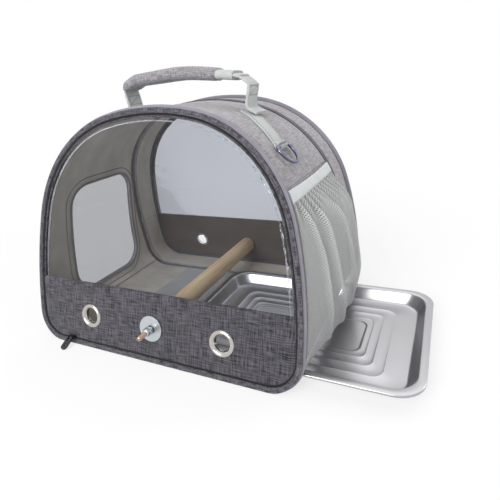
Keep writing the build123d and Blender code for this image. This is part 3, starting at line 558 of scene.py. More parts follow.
def revolve(weaver: Weaver, profile: Sequence[Pair], centre: Point, axis: Vector, turns: int = 64) -> None:
    """Add a closed turned shape.

    Args:
        weaver: Mesh to add to.
        profile: Closed run of radius and height pairs.
        centre: Point on the axis at height nought.
        axis: Direction of the axis.
        turns: Number of steps round it.
    """
    up = axis.normalized()
    first = up.orthogonal().normalized()
    second = up.cross(first)
    rows = []
    for k in range(turns):
        angle = 2 * math.pi * k / turns
        out = first * math.cos(angle) + second * math.sin(angle)
        rows.append([tuple(Vector(centre) + out * r + up * h) for r, h in profile])
    weaver.grid(rows, lambda i, j: (i * 2 * math.pi * profile[0][0] / turns, j * 1.0), True, True)


def fade(value: float, low: float, high: float) -> float:
    """Return a smooth step from nought at low to one at high."""
    t = min(max((value - low) / (high - low), 0.0), 1.0)
    return t * t * (3 - 2 * t)


def ripple(x: float, y: float, size: float, seed: float = 0.0) -> float:
    """Return smooth noise between -1 and 1, with waves of about the given size in millimetres."""
    return noise.noise(Vector((x / size, y / size, seed)))


def filleted(corners: Sequence[Pair], radii: Sequence[float], step: float = 3.0) -> list[Pair]:
    """Return points along a run of straight lines with rounded corners.

    Args:
        corners: Corner points in a plane.
        radii: One radius for each inner corner.
        step: Distance between points.

    Returns:
        Evenly spaced points from the first corner to the last.
    """
    path = [Vector(corners[0])]
    for before, corner, after, radius in zip(corners, corners[1:], corners[2:], radii):
        a = (Vector(before) - Vector(corner)).normalized()
        b = (Vector(after) - Vector(corner)).normalized()
        half = a.angle(b) / 2
        back = radius / math.tan(half)
        centre = Vector(corner) + (a + b).normalized() * (radius / math.sin(half))
        begin = Vector(corner) + a * back - centre
        turn = (Vector(corner) + b * back - centre).angle_signed(begin)
        count = max(int(abs(turn) * radius / step * 2), 4)
        for k in range(count + 1):
            angle = turn * k / count
            path.append(centre + Matrix.Rotation(angle, 2) @ begin)
    path.append(Vector(corners[-1]))
    return spaced(path, step)


def spaced(path: Sequence[Vector], step: float) -> list[tuple[float, ...]]:
    """Return evenly spaced points along a run of points."""
    lengths = [0.0]
    for a, b in zip(path, path[1:]):
        lengths.append(lengths[-1] + (b - a).length)
    count = max(int(lengths[-1] / step), 2)
    made = []
    k = 0
    for n in range(count + 1):
        want = lengths[-1] * n / count
        while k < len(path) - 2 and lengths[k + 1] < want:
            k += 1
        span = max(lengths[k + 1] - lengths[k], 1e-9)
        made.append(tuple(path[k].lerp(path[k + 1], min(max((want - lengths[k]) / span, 0), 1))))
    return made


# ---------------------------------------------------------------- the bag's own shape


@dataclass
class Arch:
    """The D-shaped outline and the two leaning faces that every panel follows."""

    width: float = 380.0
    height: float = 289.0
    depth: float = 302.0
    front_lean: float = 0.243
    rear_lean: float = 0.165
    corner_r: float = 38.0
    side_start: float = 50.0
    side_r: float = 520.0
    shoulder_r: float = 150.0
    crown_r: float = 290.0
    arcs: list[tuple[float, float, float, float, float]] = field(default_factory=list)
    half_run: float = 0.0

    def __post_init__(self) -> None:
        """Work out the arcs of the right half, from the foot to the crown."""
        side = (self.width / 2 - self.side_r, self.side_start)
        crown = (0.0, self.height - self.crown_r)
        first, second = self.side_r - self.shoulder_r, self.crown_r - self.shoulder_r
        dx, dz = crown[0] - side[0], crown[1] - side[1]
        apart = math.hypot(dx, dz)
        along = (first**2 - second**2 + apart**2) / (2 * apart)
        across = math.sqrt(first**2 - along**2)
        x = side[0] + (along * dx - across * dz) / apart
        z = side[1] + (along * dz + across * dx) / apart
        low = math.atan2(z - side[1], x - side[0])
        high = math.atan2(z - crown[1], x - crown[0])
        quarter = math.pi / 2
        corner = (self.width / 2 - self.corner_r, self.corner_r)
        self.arcs = [(*corner, self.corner_r, -quarter, 0.0), (*side, self.side_r, 0.0, low),
            (x, z, self.shoulder_r, low, high), (*crown, self.crown_r, high, quarter)]
        straight = self.side_start - self.corner_r
        self.half_run = corner[0] + straight + sum(r * (b - a) for _, _, r, a, b in self.arcs)

    @property
    def run(self) -> float:
        """Length all round the outline."""
        return 2 * self.half_run

    def spot(self, share: float, inset: float = 0.0) -> tuple[float, float, float, float]:
        """Return a point of the outline and its outward normal.

        Args:
            share: Share of the way round, from the middle of the foot up the right side.
            inset: Distance inwards.

        Returns:
            The point's X and Z and the normal's X and Z.
        """
        share %= 1.0
        flip = -1.0 if share > 0.5 else 1.0
        left = (1 - share if share > 0.5 else share) * self.run
        foot = self.arcs[0][0]
        if left <= foot:
            return (flip * left, inset, 0.0, -1.0)
        left -= foot
        straight = self.side_start - self.corner_r
        for cx, cz, radius, a, b in self.arcs:
            if left <= radius * (b - a) + 1e-6:
                break
            left -= radius * (b - a)
            if a < 0.0 and left <= straight:
                return (flip * (self.width / 2 - inset), self.corner_r + left, flip, 0.0)
            if a < 0.0:
                left -= straight
        angle = min(a + left / radius, b)
        nx, nz = math.cos(angle), math.sin(angle)
        return (flip * (cx + (radius - inset) * nx), cz + (radius - inset) * nz, flip * nx, nz)

    def share_at(self, z: float, inset: float = 0.0) -> float:
        """Return the share at which the right side reaches a height."""
        low, high = self.arcs[0][0] / self.run, 0.5
        for _ in range(40):
            middle = (low + high) / 2
            if self.spot(middle, inset)[1] < z:
                low = middle
            else:
                high = middle
        return low

    def half_width(self, z: float, inset: float = 0.0) -> float:
        """Return the half width at a height, moved inwards."""
        return self.spot(self.share_at(z, inset), inset)[0]

    def stretch(self, face: Face) -> float:
        """Return how far along Y one unit of a face's own normal reaches."""
        return math.hypot(1, self.front_lean if face is Face.FRONT else self.rear_lean)

    def lean(self, face: Face, x: float, z: float, out: float = 0.0) -> Point:
        """Return the point of a leaning face at x and z, moved out along its normal."""
        slope = self.front_lean if face is Face.FRONT else self.rear_lean
        return (x, face.value * (self.depth / 2 - slope * z + out * self.stretch(face)), z)

    def normal(self, face: Face) -> Vector:
        """Return a face's outward direction."""
        slope = self.front_lean if face is Face.FRONT else self.rear_lean
        return Vector((0, face.value, slope)).normalized()

    def on_wall(self, share: float, inset: float, back: float, front_in: float, rear_in: float) -> Point:
        """Return a point of the wall between the two faces.

        Args:
            share: Share of the way round the outline.
            inset: Distance inwards.
            back: Share of the way from front to rear.
            front_in: How far behind the front face the wall starts.
            rear_in: How far ahead of the rear face it ends.

        Returns:
            The point.
        """
        x, z, _, _ = self.spot(share, inset)
        y0 = self.lean(Face.FRONT, x, z, -front_in)[1]
        y1 = self.lean(Face.REAR, x, z, -rear_in)[1]
        return (x, y0 + (y1 - y0) * back, z)

    def shares(self, start: float, end: float, step: float = 5.0) -> list[float]:
        """Return evenly spaced shares from start to end, about step millimetres apart."""
        count = max(int((end - start) * self.run / step), 2)
        return [start + (end - start) * k / count for k in range(count + 1)]


ARCH = Arch()


def rims(face: Face, profile: Sequence[Pair], shares: Sequence[float],
        shift: Callable[[float, int], Pair] | None = None) -> list[list[Point]]:
    """Return one ring of points per share, each an inset and depth profile set on a leaning face.

    Args:
        face: Face that the profile follows.
        profile: Inset and depth pairs.
        shares: Shares of the way round.
        shift: Extra inset and depth for a share and a profile point's number.

    Returns:
        Rows of points.
    """
    rows = []
    for share in shares:
        row = []
        for j, (inset, out) in enumerate(profile):
            more = shift(share, j) if shift else (0.0, 0.0)
            x, z, _, _ = ARCH.spot(share, inset + more[0])
            row.append(ARCH.lean(face, x, max(z, 0.0), out + more[1]))  # the foot lies flat on the table
        rows.append(row)
    return rows


def run_coords(shares: Sequence[float], profile: Sequence[Pair]) -> Callable[[int, int], Pair]:
    """Return cloth coordinates for rings along the outline: length round it, and length across."""
    across = [0.0]
    closed = list(profile) + [profile[0]]
    for a, b in zip(closed, closed[1:]):
        across.append(across[-1] + math.dist(a, b))
    step = shares[1] - shares[0]
    return lambda i, j: ((shares[0] + i * step) * ARCH.run, across[j])


def stitch_line(weaver: Weaver, path: Sequence[Vector], ups: Sequence[Vector], long: float = 2.6) -> None:
    """Add a row of stitches, one on each second step of a path."""
    for k in range(0, len(path) - 1, 2):
        along = (path[k + 1] - path[k]).normalized() * (long / 2)
        middle = (path[k] + path[k + 1]) / 2
        weaver.bar(middle - along, middle + along, ups[k], 0.7, 0.5)


def sew(name: str, path: Sequence[Vector], ups: Sequence[Vector], body: str, slot: str) -> None:
    """Build a row of stitches as a piece of its own."""
    weaver = Weaver(f"{name}_stitches")
    stitch_line(weaver, path, ups)
    dress(weaver.make([THREAD_DARK]), body, slot)


@dataclass
class EdgeBinding:
    """The tape that binds the seam between a face and the walls, filled out by its piping."""

    face: Face
    name: str
    body: str
    node: str
    start: float = 0.0
    end: float = 1.0
    lip: float = 7.2

    def profile(self) -> list[Pair]:
        """Return the section: a groove, a filled ridge on the wall's side, a groove and the face's margin."""
        lip = self.lip
        return [(1.6, -10.2), (1.3, -9.6), (0.3, -8.9), (-1.2, -8.2), (-2.3, -6.9), (-2.7, -5.3), (-2.4, -3.8),
            (-1.5, -2.6), (-0.2, -1.9), (1.0, -1.4), (0.4, -0.6), (-0.4, 0.0), (-0.3, 0.8), (0.8, 1.4),
            (0.36 * lip, 1.4), (0.67 * lip, 1.1), (0.89 * lip, 0.6), (lip - 0.1, -0.2), (lip, -1.2),
            (lip, -4.2), (6.0, -6.4), (6.0, -9.3)]

    def build(self) -> None:
        """Build the binding and the stitches beside its ridge."""
        whole = self.end - self.start >= 1.0
        shares = ARCH.shares(self.start, self.end)
        if whole:
            shares = shares[:-1]
        profile = self.profile()

        def pucker(share: float, j: int) -> Pair:
            """Return a slight pull of the tape between stitches."""
            wave = ripple(share * ARCH.run, 0.0, 9.0, j * 0.15 + self.face.value)
            return (0.16 * wave, 0.14 * wave)

        weaver = Weaver(self.name)
        rows = rims(self.face, profile, shares, pucker)
        start = weaver.grid(rows, run_coords(shares, profile), whole, True, lambda j: 0 if 1 <= j <= 7 else 1)
        if not whole:
            for row in (0, len(rows) - 1):
                base = start + row * len(profile)
                weaver.face(range(base, base + len(profile)), [(0.0, 0.0)] * len(profile), 1)
        dress(weaver.make([BINDING, MARGIN_CLOTH]), self.body, "binding_grey", self.node)
        self.sew()

    def sew(self) -> None:
        """Add the row of stitches along the wall side."""
        path, ups = [], []
        for share in ARCH.shares(self.start, self.end, STITCH_MM):
            x, z, nx, nz = ARCH.spot(share, 0.9)
            path.append(Vector(ARCH.lean(self.face, x, z, -10.3)))
            ups.append(Vector((nx, 0, nz)))
        sew(self.name, path, ups, self.body, "binding_grey")


@dataclass
class ZipRun:
    """One tape of a coil zip that follows the outline, with its row of teeth."""

    face: Face
    name: str
    body: str
    nodes: tuple[str, ...]
    start: float
    end: float
    tape: tuple[Pair, ...]
    coil: Pair
    reach: float = 0.55
    pitch: float = 1.9
    cloth: Finish = ZIP_TAPE

    def build(self) -> None:
        """Build the tape as a thin strip and the coil as a row of small teeth."""
        whole = self.end - self.start >= 1.0
        shares = ARCH.shares(self.start, self.end)
        if whole:
            shares = shares[:-1]
        weaver = Weaver(self.name)
        weaver.rod(rims(self.face, self.tape, shares), run_coords(shares, self.tape), whole)
        steps = ARCH.shares(self.start, self.end, self.pitch)[:-1]
        width = (steps[1] - steps[0]) * 0.62
        inset, out = self.coil
        for share in steps:
            x, z, nx, nz = ARCH.spot(share, inset)
            middle = Vector(ARCH.lean(self.face, x, z, out))
            if abs(out) < 6:
                across, up = Vector((nx, 0, nz)), ARCH.normal(self.face)
            else:
                across, up = ARCH.normal(self.face), Vector((nx, 0, nz))
            weaver.bar(middle - across * self.reach, middle + across * self.reach, up, width * ARCH.run, 1.0, 1)
        dress(weaver.make([self.cloth, ZIP_COIL]), self.body, "zip_black", *self.nodes)


@dataclass
class BandPanel:
    """The cloth band across the foot of a face, which carries the eyelets and the perch's bolt."""

    face: Face
    name: str
    node: str
    top: float
    inset: float
    outer: Finish
    inner: Finish
    slot: str
    eyelet_x: float = 97.0
    hole_z: float = 42.0
    front_out: float = -0.4
    back_out: float = -4.0

    def build(self) -> None:
        """Build the band as a padded sheet with a folded top edge, then cut its holes."""
        rows_out, rows_in, places = [], [], []
        high, wide = 34, 120
        low = self.inset
        for i in range(high + 1):
            z = low + 0.02 + (self.top - low - 0.02) * i / high
            half = ARCH.half_width(max(z, low + 0.02), self.inset)
            if i == 0:
                half = ARCH.arcs[0][0] + 4.0
            outer_row, inner_row, place = [], [], []
            for j in range(wide + 1):
                x = -half + 2 * half * j / wide
                edge = min(half - abs(x), z - low + 2.0, 1e9)
                tuck = 1.1 * (1 - fade(edge, 0.0, 5.0))
                hem = 0.45 * fade(z, self.top - 9.5, self.top - 8.0) - 1.2 * fade(z, self.top - 1.6, self.top)
                wave = 0.35 * ripple(x, z, 26.0, 3.0) + 0.25 * ripple(x, z, 9.0, 5.0)
                quiet = fade(min(math.hypot(abs(x) - self.eyelet_x, z - self.hole_z),
                    math.hypot(x, z - self.hole_z)), 15, 24)
                outer_row.append(ARCH.lean(self.face, x, z, self.front_out - tuck + hem + wave * quiet))
                inner_row.append(ARCH.lean(self.face, x, z, self.back_out + 0.3 * wave * quiet))
                place.append((x, z))
            rows_out.append(outer_row)
            rows_in.append(inner_row)
            places.append(place)
        weaver = Weaver(self.name)
        weaver.shell(rows_out, rows_in, lambda i, j: places[i][min(j, wide)])
        band = weaver.make([self.outer, self.inner])
        cutters = []
        for x, radius in ((-self.eyelet_x, 10.2), (self.eyelet_x, 10.2), (0.0, 4.6)):
            plug = Weaver("hole")
            up = ARCH.normal(self.face)
            centre = ARCH.lean(self.face, x, self.hole_z)
            first = up.orthogonal().normalized()
            second = up.cross(first)
            rows = []
            for h in (-12.0, 12.0):
                angles = [2 * math.pi * k / 40 for k in range(40)]
                outs = [(first * math.cos(a) + second * math.sin(a)) * radius for a in angles]
                rows.append([tuple(Vector(centre) + out + up * h) for out in outs])
            plug.rod(rows, lambda i, j: (float(j), float(i)))
            cutters.append(plug.make([self.outer]))
        cut(band, cutters)
        dress(band, "root", self.slot, self.node)
        self.sew()

    def sew(self) -> None:
        """Add the row of stitches that holds the folded top edge."""
        z, out = self.top - 6.5, self.front_out + 0.5
        half = ARCH.half_width(z, self.inset) - 3
        count = int(2 * half / STITCH_MM)
        xs = [-half + 2 * half * k / count for k in range(count + 1)]
        path = [Vector(ARCH.lean(self.face, x, z, out)) for x in xs]
        sew(self.name, path, [ARCH.normal(self.face)] * len(path), "root", self.slot)


@dataclass
class Eyelets:
    """A pair of pressed two-part eyelets through a band."""

    face: Face
    name: str
    node: str
    x: float = 97.0
    z: float = 42.0

    def build(self) -> None:
        """Build each eyelet as a rolled lip, a barrel and a flat ring behind."""
        profile = [(9.4, -5.3), (9.4, -2.4), (9.9, -1.0), (11.0, 0.5), (12.3, 1.35), (13.5, 1.6), (14.7, 1.2),
            (15.5, 0.5), (15.8, -0.15), (15.4, -0.4), (10.3, -0.4), (10.3, -4.0), (13.0, -4.05), (13.0, -4.6),
            (10.3, -4.75), (9.7, -5.4)]
        weaver = Weaver(self.name)
        for x in (-self.x, self.x):
            revolve(weaver, profile, ARCH.lean(self.face, x, self.z), ARCH.normal(self.face), 72)
        dress(weaver.make([NICKEL], 50.0), "root", "nickel", self.node)


@dataclass
class ClearPanel:
    """A clear sheet behind its cloth border, above a band."""

    face: Face
    name: str
    body: str
    node: str
    low: float
    inset: float
    out: float
    finish: Finish
    wrinkle: float = 0.15
    welded: float = 0.0
    mid_z: float = 150.0

    def build(self) -> None:
        """Build the sheet from rings that shrink towards its middle, with ripples near its sewn edge."""
        foot = ARCH.share_at(self.low, self.inset)
        arc = [ARCH.spot(s, self.inset)[:2] for s in ARCH.shares(foot, 1 - foot, 4.0)]
        left, right = arc[-1], arc[0]
        count = int((right[0] - left[0]) / 4.0)
        base = [(left[0] + (right[0] - left[0]) * k / count, self.low) for k in range(1, count)]
        edge = arc + base
        shrinks = [1 - 0.9 * (k / 46) for k in range(45)] + [0.06]
        rows = []
        for shrink in shrinks:
            row = []
            for n, (x, z) in enumerate(edge):
                px, pz = x * shrink, self.mid_z + (z - self.mid_z) * shrink
                near = fade(shrink, 0.72, 0.94) if n < len(arc) else 0.0
                fine = ripple(n * 4.0, shrink * 40, 15.0, 1.0) * near * self.wrinkle
                free = 1 - fade(shrink, 0.97, 1.0)
                broad = 0.5 * ripple(px, pz, 60.0, 2.0) * free
                row.append(ARCH.lean(self.face, px, pz, self.out + fine * free + broad))
            rows.append(row)
        weaver = Weaver(self.name)
        weaver.grid(rows, lambda i, j: (j * 4.0, i * 4.0), False, True)
        wide = len(edge)
        start = (len(rows) - 1) * wide
        weaver.face(list(range(start, start + wide)), [(0.0, 0.0)] * wide)
        dress(weaver.make([self.finish], 180.0), self.body, "clear_sheet", self.node)
        if self.welded:
            self.weld()

    def weld(self) -> None:
        """Build the sheet's folded and welded edge, puckered where it is eased round the shoulders."""
        foot = ARCH.share_at(self.low, self.welded)
        shares = ARCH.shares(foot, 1 - foot, 2.0)
        profile = [(0.0, -2.2), (0.1, -1.5), (0.5, -1.1), (1.0, -1.3), (1.4, -2.0), (1.1, -2.8), (0.3, -2.9)]
        profile = [(self.welded + inset, out) for inset, out in profile]

        def pucker(share: float, j: int) -> Pair:
            """Return the edge's crumples, strong on the right shoulder and slight elsewhere."""
            right = fade(share, 0.20, 0.27) * (1 - fade(share, 0.40, 0.46))
            run = share * ARCH.run
            wave = ripple(run, j * 1.5, 7.0, 4.0) + 0.7 * ripple(run, j * 2.0, 3.5, 6.0)
            size = 0.2 + 1.9 * right
            hidden = 0.85 * (1 - fade(share, 0.19, 0.26) * (1 - fade(share, 0.72, 0.80)))
            inset, out = profile[j]
            return (hidden * (self.welded + 0.7 - inset) - 1.1 * size * max(wave, -0.4) * (1 - hidden),
                hidden * (-2.4 - out) + 0.8 * size * wave * (1 - hidden))

        weaver = Weaver(f"{self.name}_edge")
        weaver.rod(rims(self.face, profile, shares, pucker), run_coords(shares, profile))
        dress(weaver.make([WELDED_EDGE], 30.0), self.body, "clear_sheet")


@dataclass
class ClothBorder:
    """The cloth strip between a zip and a clear sheet."""

    face: Face
    name: str
    body: str
    node: str
    low: float
    outer_in: float
    inner_in: float

    def build(self) -> None:
        """Build the strip as a soft folded edge, and its stitches."""
        foot = ARCH.share_at(self.low, self.outer_in)
        shares = ARCH.shares(foot, 1 - foot, 4.0)
        a, b = self.outer_in, self.inner_in
        profile = [(a, -2.9), (a, -1.2), (a + 0.9, -0.4), ((a + b) / 2, -0.1), (b - 1.2, -0.5), (b - 0.2, -1.2),
            (b, -2.0), (b - 0.4, -2.9)]

        def crease(share: float, j: int) -> Pair:
            """Return the strip's small waves, larger towards its free edge."""
            wave = ripple(share * ARCH.run, 0.0, 14.0, 7.0) + 0.6 * ripple(share * ARCH.run, 0.0, 5.0, 9.0)
            part = 0.5 if 3 <= j <= 6 else 0.1
            return (0.5 * part * wave, 0.35 * part * wave)

        weaver = Weaver(self.name)
        weaver.rod(rims(self.face, profile, shares, crease), run_coords(shares, profile))
        dress(weaver.make([MARGIN_CLOTH]), self.body, "heather_dark", self.node)


# ---------------------------------------------------------------- walls, window, floor

WALL_FRONT = 9.2  # how far behind the front face the wall starts
WALL_REAR = 57.2  # how far ahead of the rear face it ends
OUTER_IN = 1.2  # inset of the wall's outer cloth
LINING_IN = 5.2  # inset of its lining


def wall_strip(weaver: Weaver, start: float, end: float, insets: Pair, puff: float = 0.7) -> None:
    """Add one padded strip of wall: pale cloth outside, lining inside.

    Args:
        weaver: Mesh to add to.
        start: First share of the way round.
        end: Last share.
        insets: Outer and inner inset.
        puff: Height of the cloth's soft waves.
    """
    shares = ARCH.shares(start, end, 6.0)
    outer, inner = [], []
    close, columns = 12, 40
    backs = [0.1 * j / close for j in range(close)] + [0.1 + 0.9 * j / columns for j in range(columns + 1)]
    for share in shares:
        outer_row, inner_row = [], []
        for back in backs:
            y = ARCH.on_wall(share, insets[0], back, WALL_FRONT, WALL_REAR)[1]
            run = share * ARCH.run
            seam = 1 - fade(back, 0.0, 0.05) + fade(back, 0.95, 1.0)
            wave = 0.6 * ripple(run, y, 48.0, 11.0) + 0.35 * ripple(run, y, 17.0, 13.0)
            welt = 0.9 * math.exp(-(((back - 0.035) / 0.014) ** 2))
            welt -= 0.8 * math.exp(-(((back - 0.066) / 0.009) ** 2))
            lift = puff * (wave * (1 - seam) + welt) - 0.8 * seam
            outer_row.append(ARCH.on_wall(share, insets[0] - lift, back, WALL_FRONT, WALL_REAR))
            sag = 0.8 * ripple(run, y, 40.0, 17.0) * (1 - seam)
            inner_row.append(ARCH.on_wall(share, insets[1] - sag, back, WALL_FRONT, WALL_REAR))
        outer.append(outer_row)
        inner.append(inner_row)
    step = shares[1] - shares[0]
    span = (Vector(outer[0][0]) - Vector(outer[0][-1])).length
    last = len(backs) - 1
    weaver.shell(outer, inner, lambda i, j: ((shares[0] + i * step) * ARCH.run, backs[min(j, last)] * span))


@dataclass
class Walls:
    """The gusset over both sides and the roof, with the left window's opening, and the base."""

    base_top: float = 10.0
    flap_low: float = 27.0
    opening_top: float = 204.0
    window: tuple[Pair, ...] = ((-80.0, 28.0), (-64.0, 190.0), (58.0, 190.0), (60.0, 28.0))
    window_r: float = 32.0

    def window_edge(self, grow: float = 0.0) -> list[Pair]:
        """Return the left window's rounded outline in Y and Z, grown outwards."""
        cy = sum(p[0] for p in self.window) / 4
        cz = sum(p[1] for p in self.window) / 4
        middle = ((self.window[-1][0] + self.window[0][0]) / 2, self.window[0][1])
        loop = [middle, *self.window, middle]
        path = filleted(loop, [self.window_r] * 4, 4.0)[:-1]
        grown = []
        count = len(path)
        for k in range(count):
            a, b = Vector(path[k - 1]), Vector(path[(k + 1) % count])
            out = Vector((b[1] - a[1], a[0] - b[0])).normalized()
            if out.dot(Vector((path[k][0] - cy, path[k][1] - cz))) < 0:
                out = -out
            grown.append((path[k][0] + out[0] * grow, path[k][1] + out[1] * grow))
        return grown

    def build(self) -> None:
        """Build the gusset, the base, the window and its bindings."""
        weaver = Weaver("gusset")
        heights = (self.opening_top, self.base_top, self.flap_low)
        top, low, slot_top = (ARCH.share_at(z, OUTER_IN) for z in heights)
        wall_strip(weaver, top, 1 - low, (OUTER_IN, LINING_IN))
        gusset = weaver.make([PALE_CLOTH, TAUPE])
        plug = Weaver("window_hole")
        edge = self.window_edge()
        rows = [[(x, y, z) for y, z in edge] for x in (-230.0, -120.0)]
        plug.rod(rows, lambda i, j: (float(j), float(i)))
        cut(gusset, [plug.make([PALE_CLOTH])])
        dress(gusset, "root", "heather_mid", "roof_panel", "left_wall")
        frame_strips = Weaver("side_opening_frame")
        self.narrow_strip(frame_strips, slot_top, top, Face.FRONT)
        self.narrow_strip(frame_strips, slot_top, top, Face.REAR)
        self.narrow_strip(frame_strips, low, slot_top, Face.REAR)
        dress(frame_strips.make([PALE_CLOTH, TAUPE]), "root", "heather_mid", "right_wall")
        self.base()
        self.window_sheet()
        self.window_binding()

    def narrow_strip(self, weaver: Weaver, start: float, end: float, face: Face) -> None:
        """Add the strip of wall beside the side opening, at its front or rear edge."""
        limits = (-WALL_FRONT, -17.0) if face is Face.FRONT else (-64.0, -WALL_REAR)
        shares = ARCH.shares(start, end, 6.0)
        outer, inner = [], []
        for share in shares:
            rows = []
            for inset in (OUTER_IN, LINING_IN):
                x, z, _, _ = ARCH.spot(share, inset)
                ends = [ARCH.lean(face, x, z, out)[1] for out in limits]
                rows.append([(x, ends[0] + (ends[1] - ends[0]) * j / 4, z) for j in range(5)])
            outer.append(rows[0])
            inner.append(rows[1])
        step = shares[1] - shares[0]
        weaver.shell(outer, inner, lambda i, j: ((shares[0] + i * step) * ARCH.run, j * 2.0))

    def base(self) -> None:
        """Build the base: dark cloth under the bag, lining on top."""
        weaver = Weaver("base")
        left = 1 - ARCH.share_at(self.base_top, 0.0)
        right = 1 + ARCH.share_at(3.2, 0.0)
        wall_strip(weaver, left, right, (0.15, 3.0), puff=0.0)
        dress(weaver.make([DARK_CLOTH, TAUPE]), "root", "heather_dark", "base_panel")
        board = Weaver("covered_board")
        x0, x1, y0, y1 = -103.0, 139.0, -140.4, 92.0
        rows_top, rows_low = [], []
        high, wide = 40, 40
        for i in range(high + 1):
            top_row, low_row = [], []
            for j in range(wide + 1):
                x, y = x0 + (x1 - x0) * j / wide, y0 + (y1 - y0) * i / high
                edge = min(x - x0, x1 - x, y - y0, y1 - y)
                drop = 1.0 * (1 - fade(edge, 0.0, 3.0))
                top_row.append((x, y, 5.0 - drop + 0.12 * ripple(x, y, 40.0, 21.0)))
                low_row.append((x, y, 3.0))
            rows_top.append(top_row)
            rows_low.append(low_row)
        board.shell(rows_top, rows_low, lambda i, j: (min(j, wide) * 6.0, i * 6.0))
        dress(board.make([BOARD, BOARD]), "root", "board_grey", "floor_board")

    def window_sheet(self) -> None:
        """Build the left window's mesh sheet as shrinking rings of its outline, on the wall's curve."""
        weaver = Weaver("left_window_mesh")
        edge = self.window_edge(3.0)
        cy, cz = -7.0, 110.0
        rows, places = [], []
        for shrink in [1 - 0.94 * k / 20 for k in range(21)]:
            row, place = [], []
            for y, z in edge:
                py, pz = cy + (y - cy) * shrink, cz + (z - cz) * shrink
                row.append((-ARCH.half_width(pz, 3.0 + 0.5 * ripple(py, pz, 50.0, 23.0)), py, pz))
                place.append((py, pz))
            rows.append(row)
            places.append(place)
        wide = len(edge)
        weaver.grid(rows, lambda i, j: places[i][j % wide], False, True)
        start = (len(rows) - 1) * wide
        weaver.face(list(range(start, start + wide)), [places[-1][k] for k in range(wide)])
        dress(weaver.make([WINDOW_NET], 180.0), "root", "window_mesh", "left_window")

    def window_binding(self) -> None:
        """Build the tape round the left window, one ring outside and one inside."""
        for name, near, far, inner, outer, finish, *ends in (
            ("left_window_tape", 0.15, 1.4, -1.0, 6.5, BINDING, "binding_grey", "left_window_binding"),
            ("left_window_inner_tape", 5.0, 6.8, -1.5, 2.2, INNER_TAPE, "heather_dark"),
        ):
            weaver = Weaver(name)
            rings = []
            for extra, inset in ((inner, far), (inner, near), (outer - 0.8, near), (outer, far)):
                edge = self.window_edge(extra)
                rings.append([(-ARCH.half_width(z, inset), y, z) for y, z in edge])
            rows = [list(column) for column in zip(*rings)]
            weaver.rod(rows, lambda i, j: (i * 4.0, j * 3.0), True)
            dress(weaver.make([finish]), "root", *ends)


@dataclass
class InnerSeams:
    """The sewn seams of the lining that show through the clear front."""

    inset: float = 5.5
    wire: float = 0.55

    def build(self) -> None:
        """Build the seams beside the rear zip and the one round the left window."""
        weaver = Weaver("lining_seams")
        for out in (-46.5, -58.5):
            low = ARCH.share_at(12.0, self.inset)
            rows = []
            for share in ARCH.shares(low, 1 - low, 4.0):
                x, z, nx, nz = ARCH.spot(share, self.inset)
                centre = Vector(ARCH.lean(Face.REAR, x, z, out))
                rows.append(self.ring(centre, Vector((nx, 0, nz)), Vector((0, 1, 0))))
            weaver.rod(rows, lambda i, j: (i * 4.0, j * 1.0))
        rows = []
        for y, z in Walls().window_edge(9.0):
            centre = Vector((-ARCH.half_width(z, self.inset), y, z))
            rows.append(self.ring(centre, Vector((-1, 0, 0)), Vector((0, y + 7.0, z - 109.0)).normalized()))
        weaver.rod(rows, lambda i, j: (i * 4.0, j * 1.0), True)
        dress(weaver.make([SEAM_SHADE], 60.0), "root", "heather_mid")

    def ring(self, centre: Vector, out: Vector, along: Vector) -> list[Point]:
        """Return a small eight-sided section about a point."""
        steps = [math.pi * k / 4 for k in range(8)]
        return [tuple(centre + (out * math.cos(a) + along * (1.6 * math.sin(a))) * self.wire) for a in steps]


@dataclass
class SideZip:
    """The closed zip that runs down both edges of the side opening, beside the pocket."""

    low: float = 27.0
    high: float = 203.0

    def build(self) -> None:
        """Build each edge's tape and teeth as one run on the wall."""
        low, high = ARCH.share_at(self.low, OUTER_IN), ARCH.share_at(self.high, OUTER_IN)
        tape = ((0.9, -13.4), (0.5, -13.2), (0.5, -10.4), (0.9, -10.2))
        ZipRun(Face.FRONT, "side_zip_front_edge", "root", (), low, high, tape, (0.3, -11.9), 0.9).build()
        tape = ((0.9, -60.6), (0.5, -60.4), (0.5, -57.6), (0.9, -57.4))
        ZipRun(Face.REAR, "side_zip_rear_edge", "root", (), low, high, tape, (0.3, -59.0), 0.9).build()


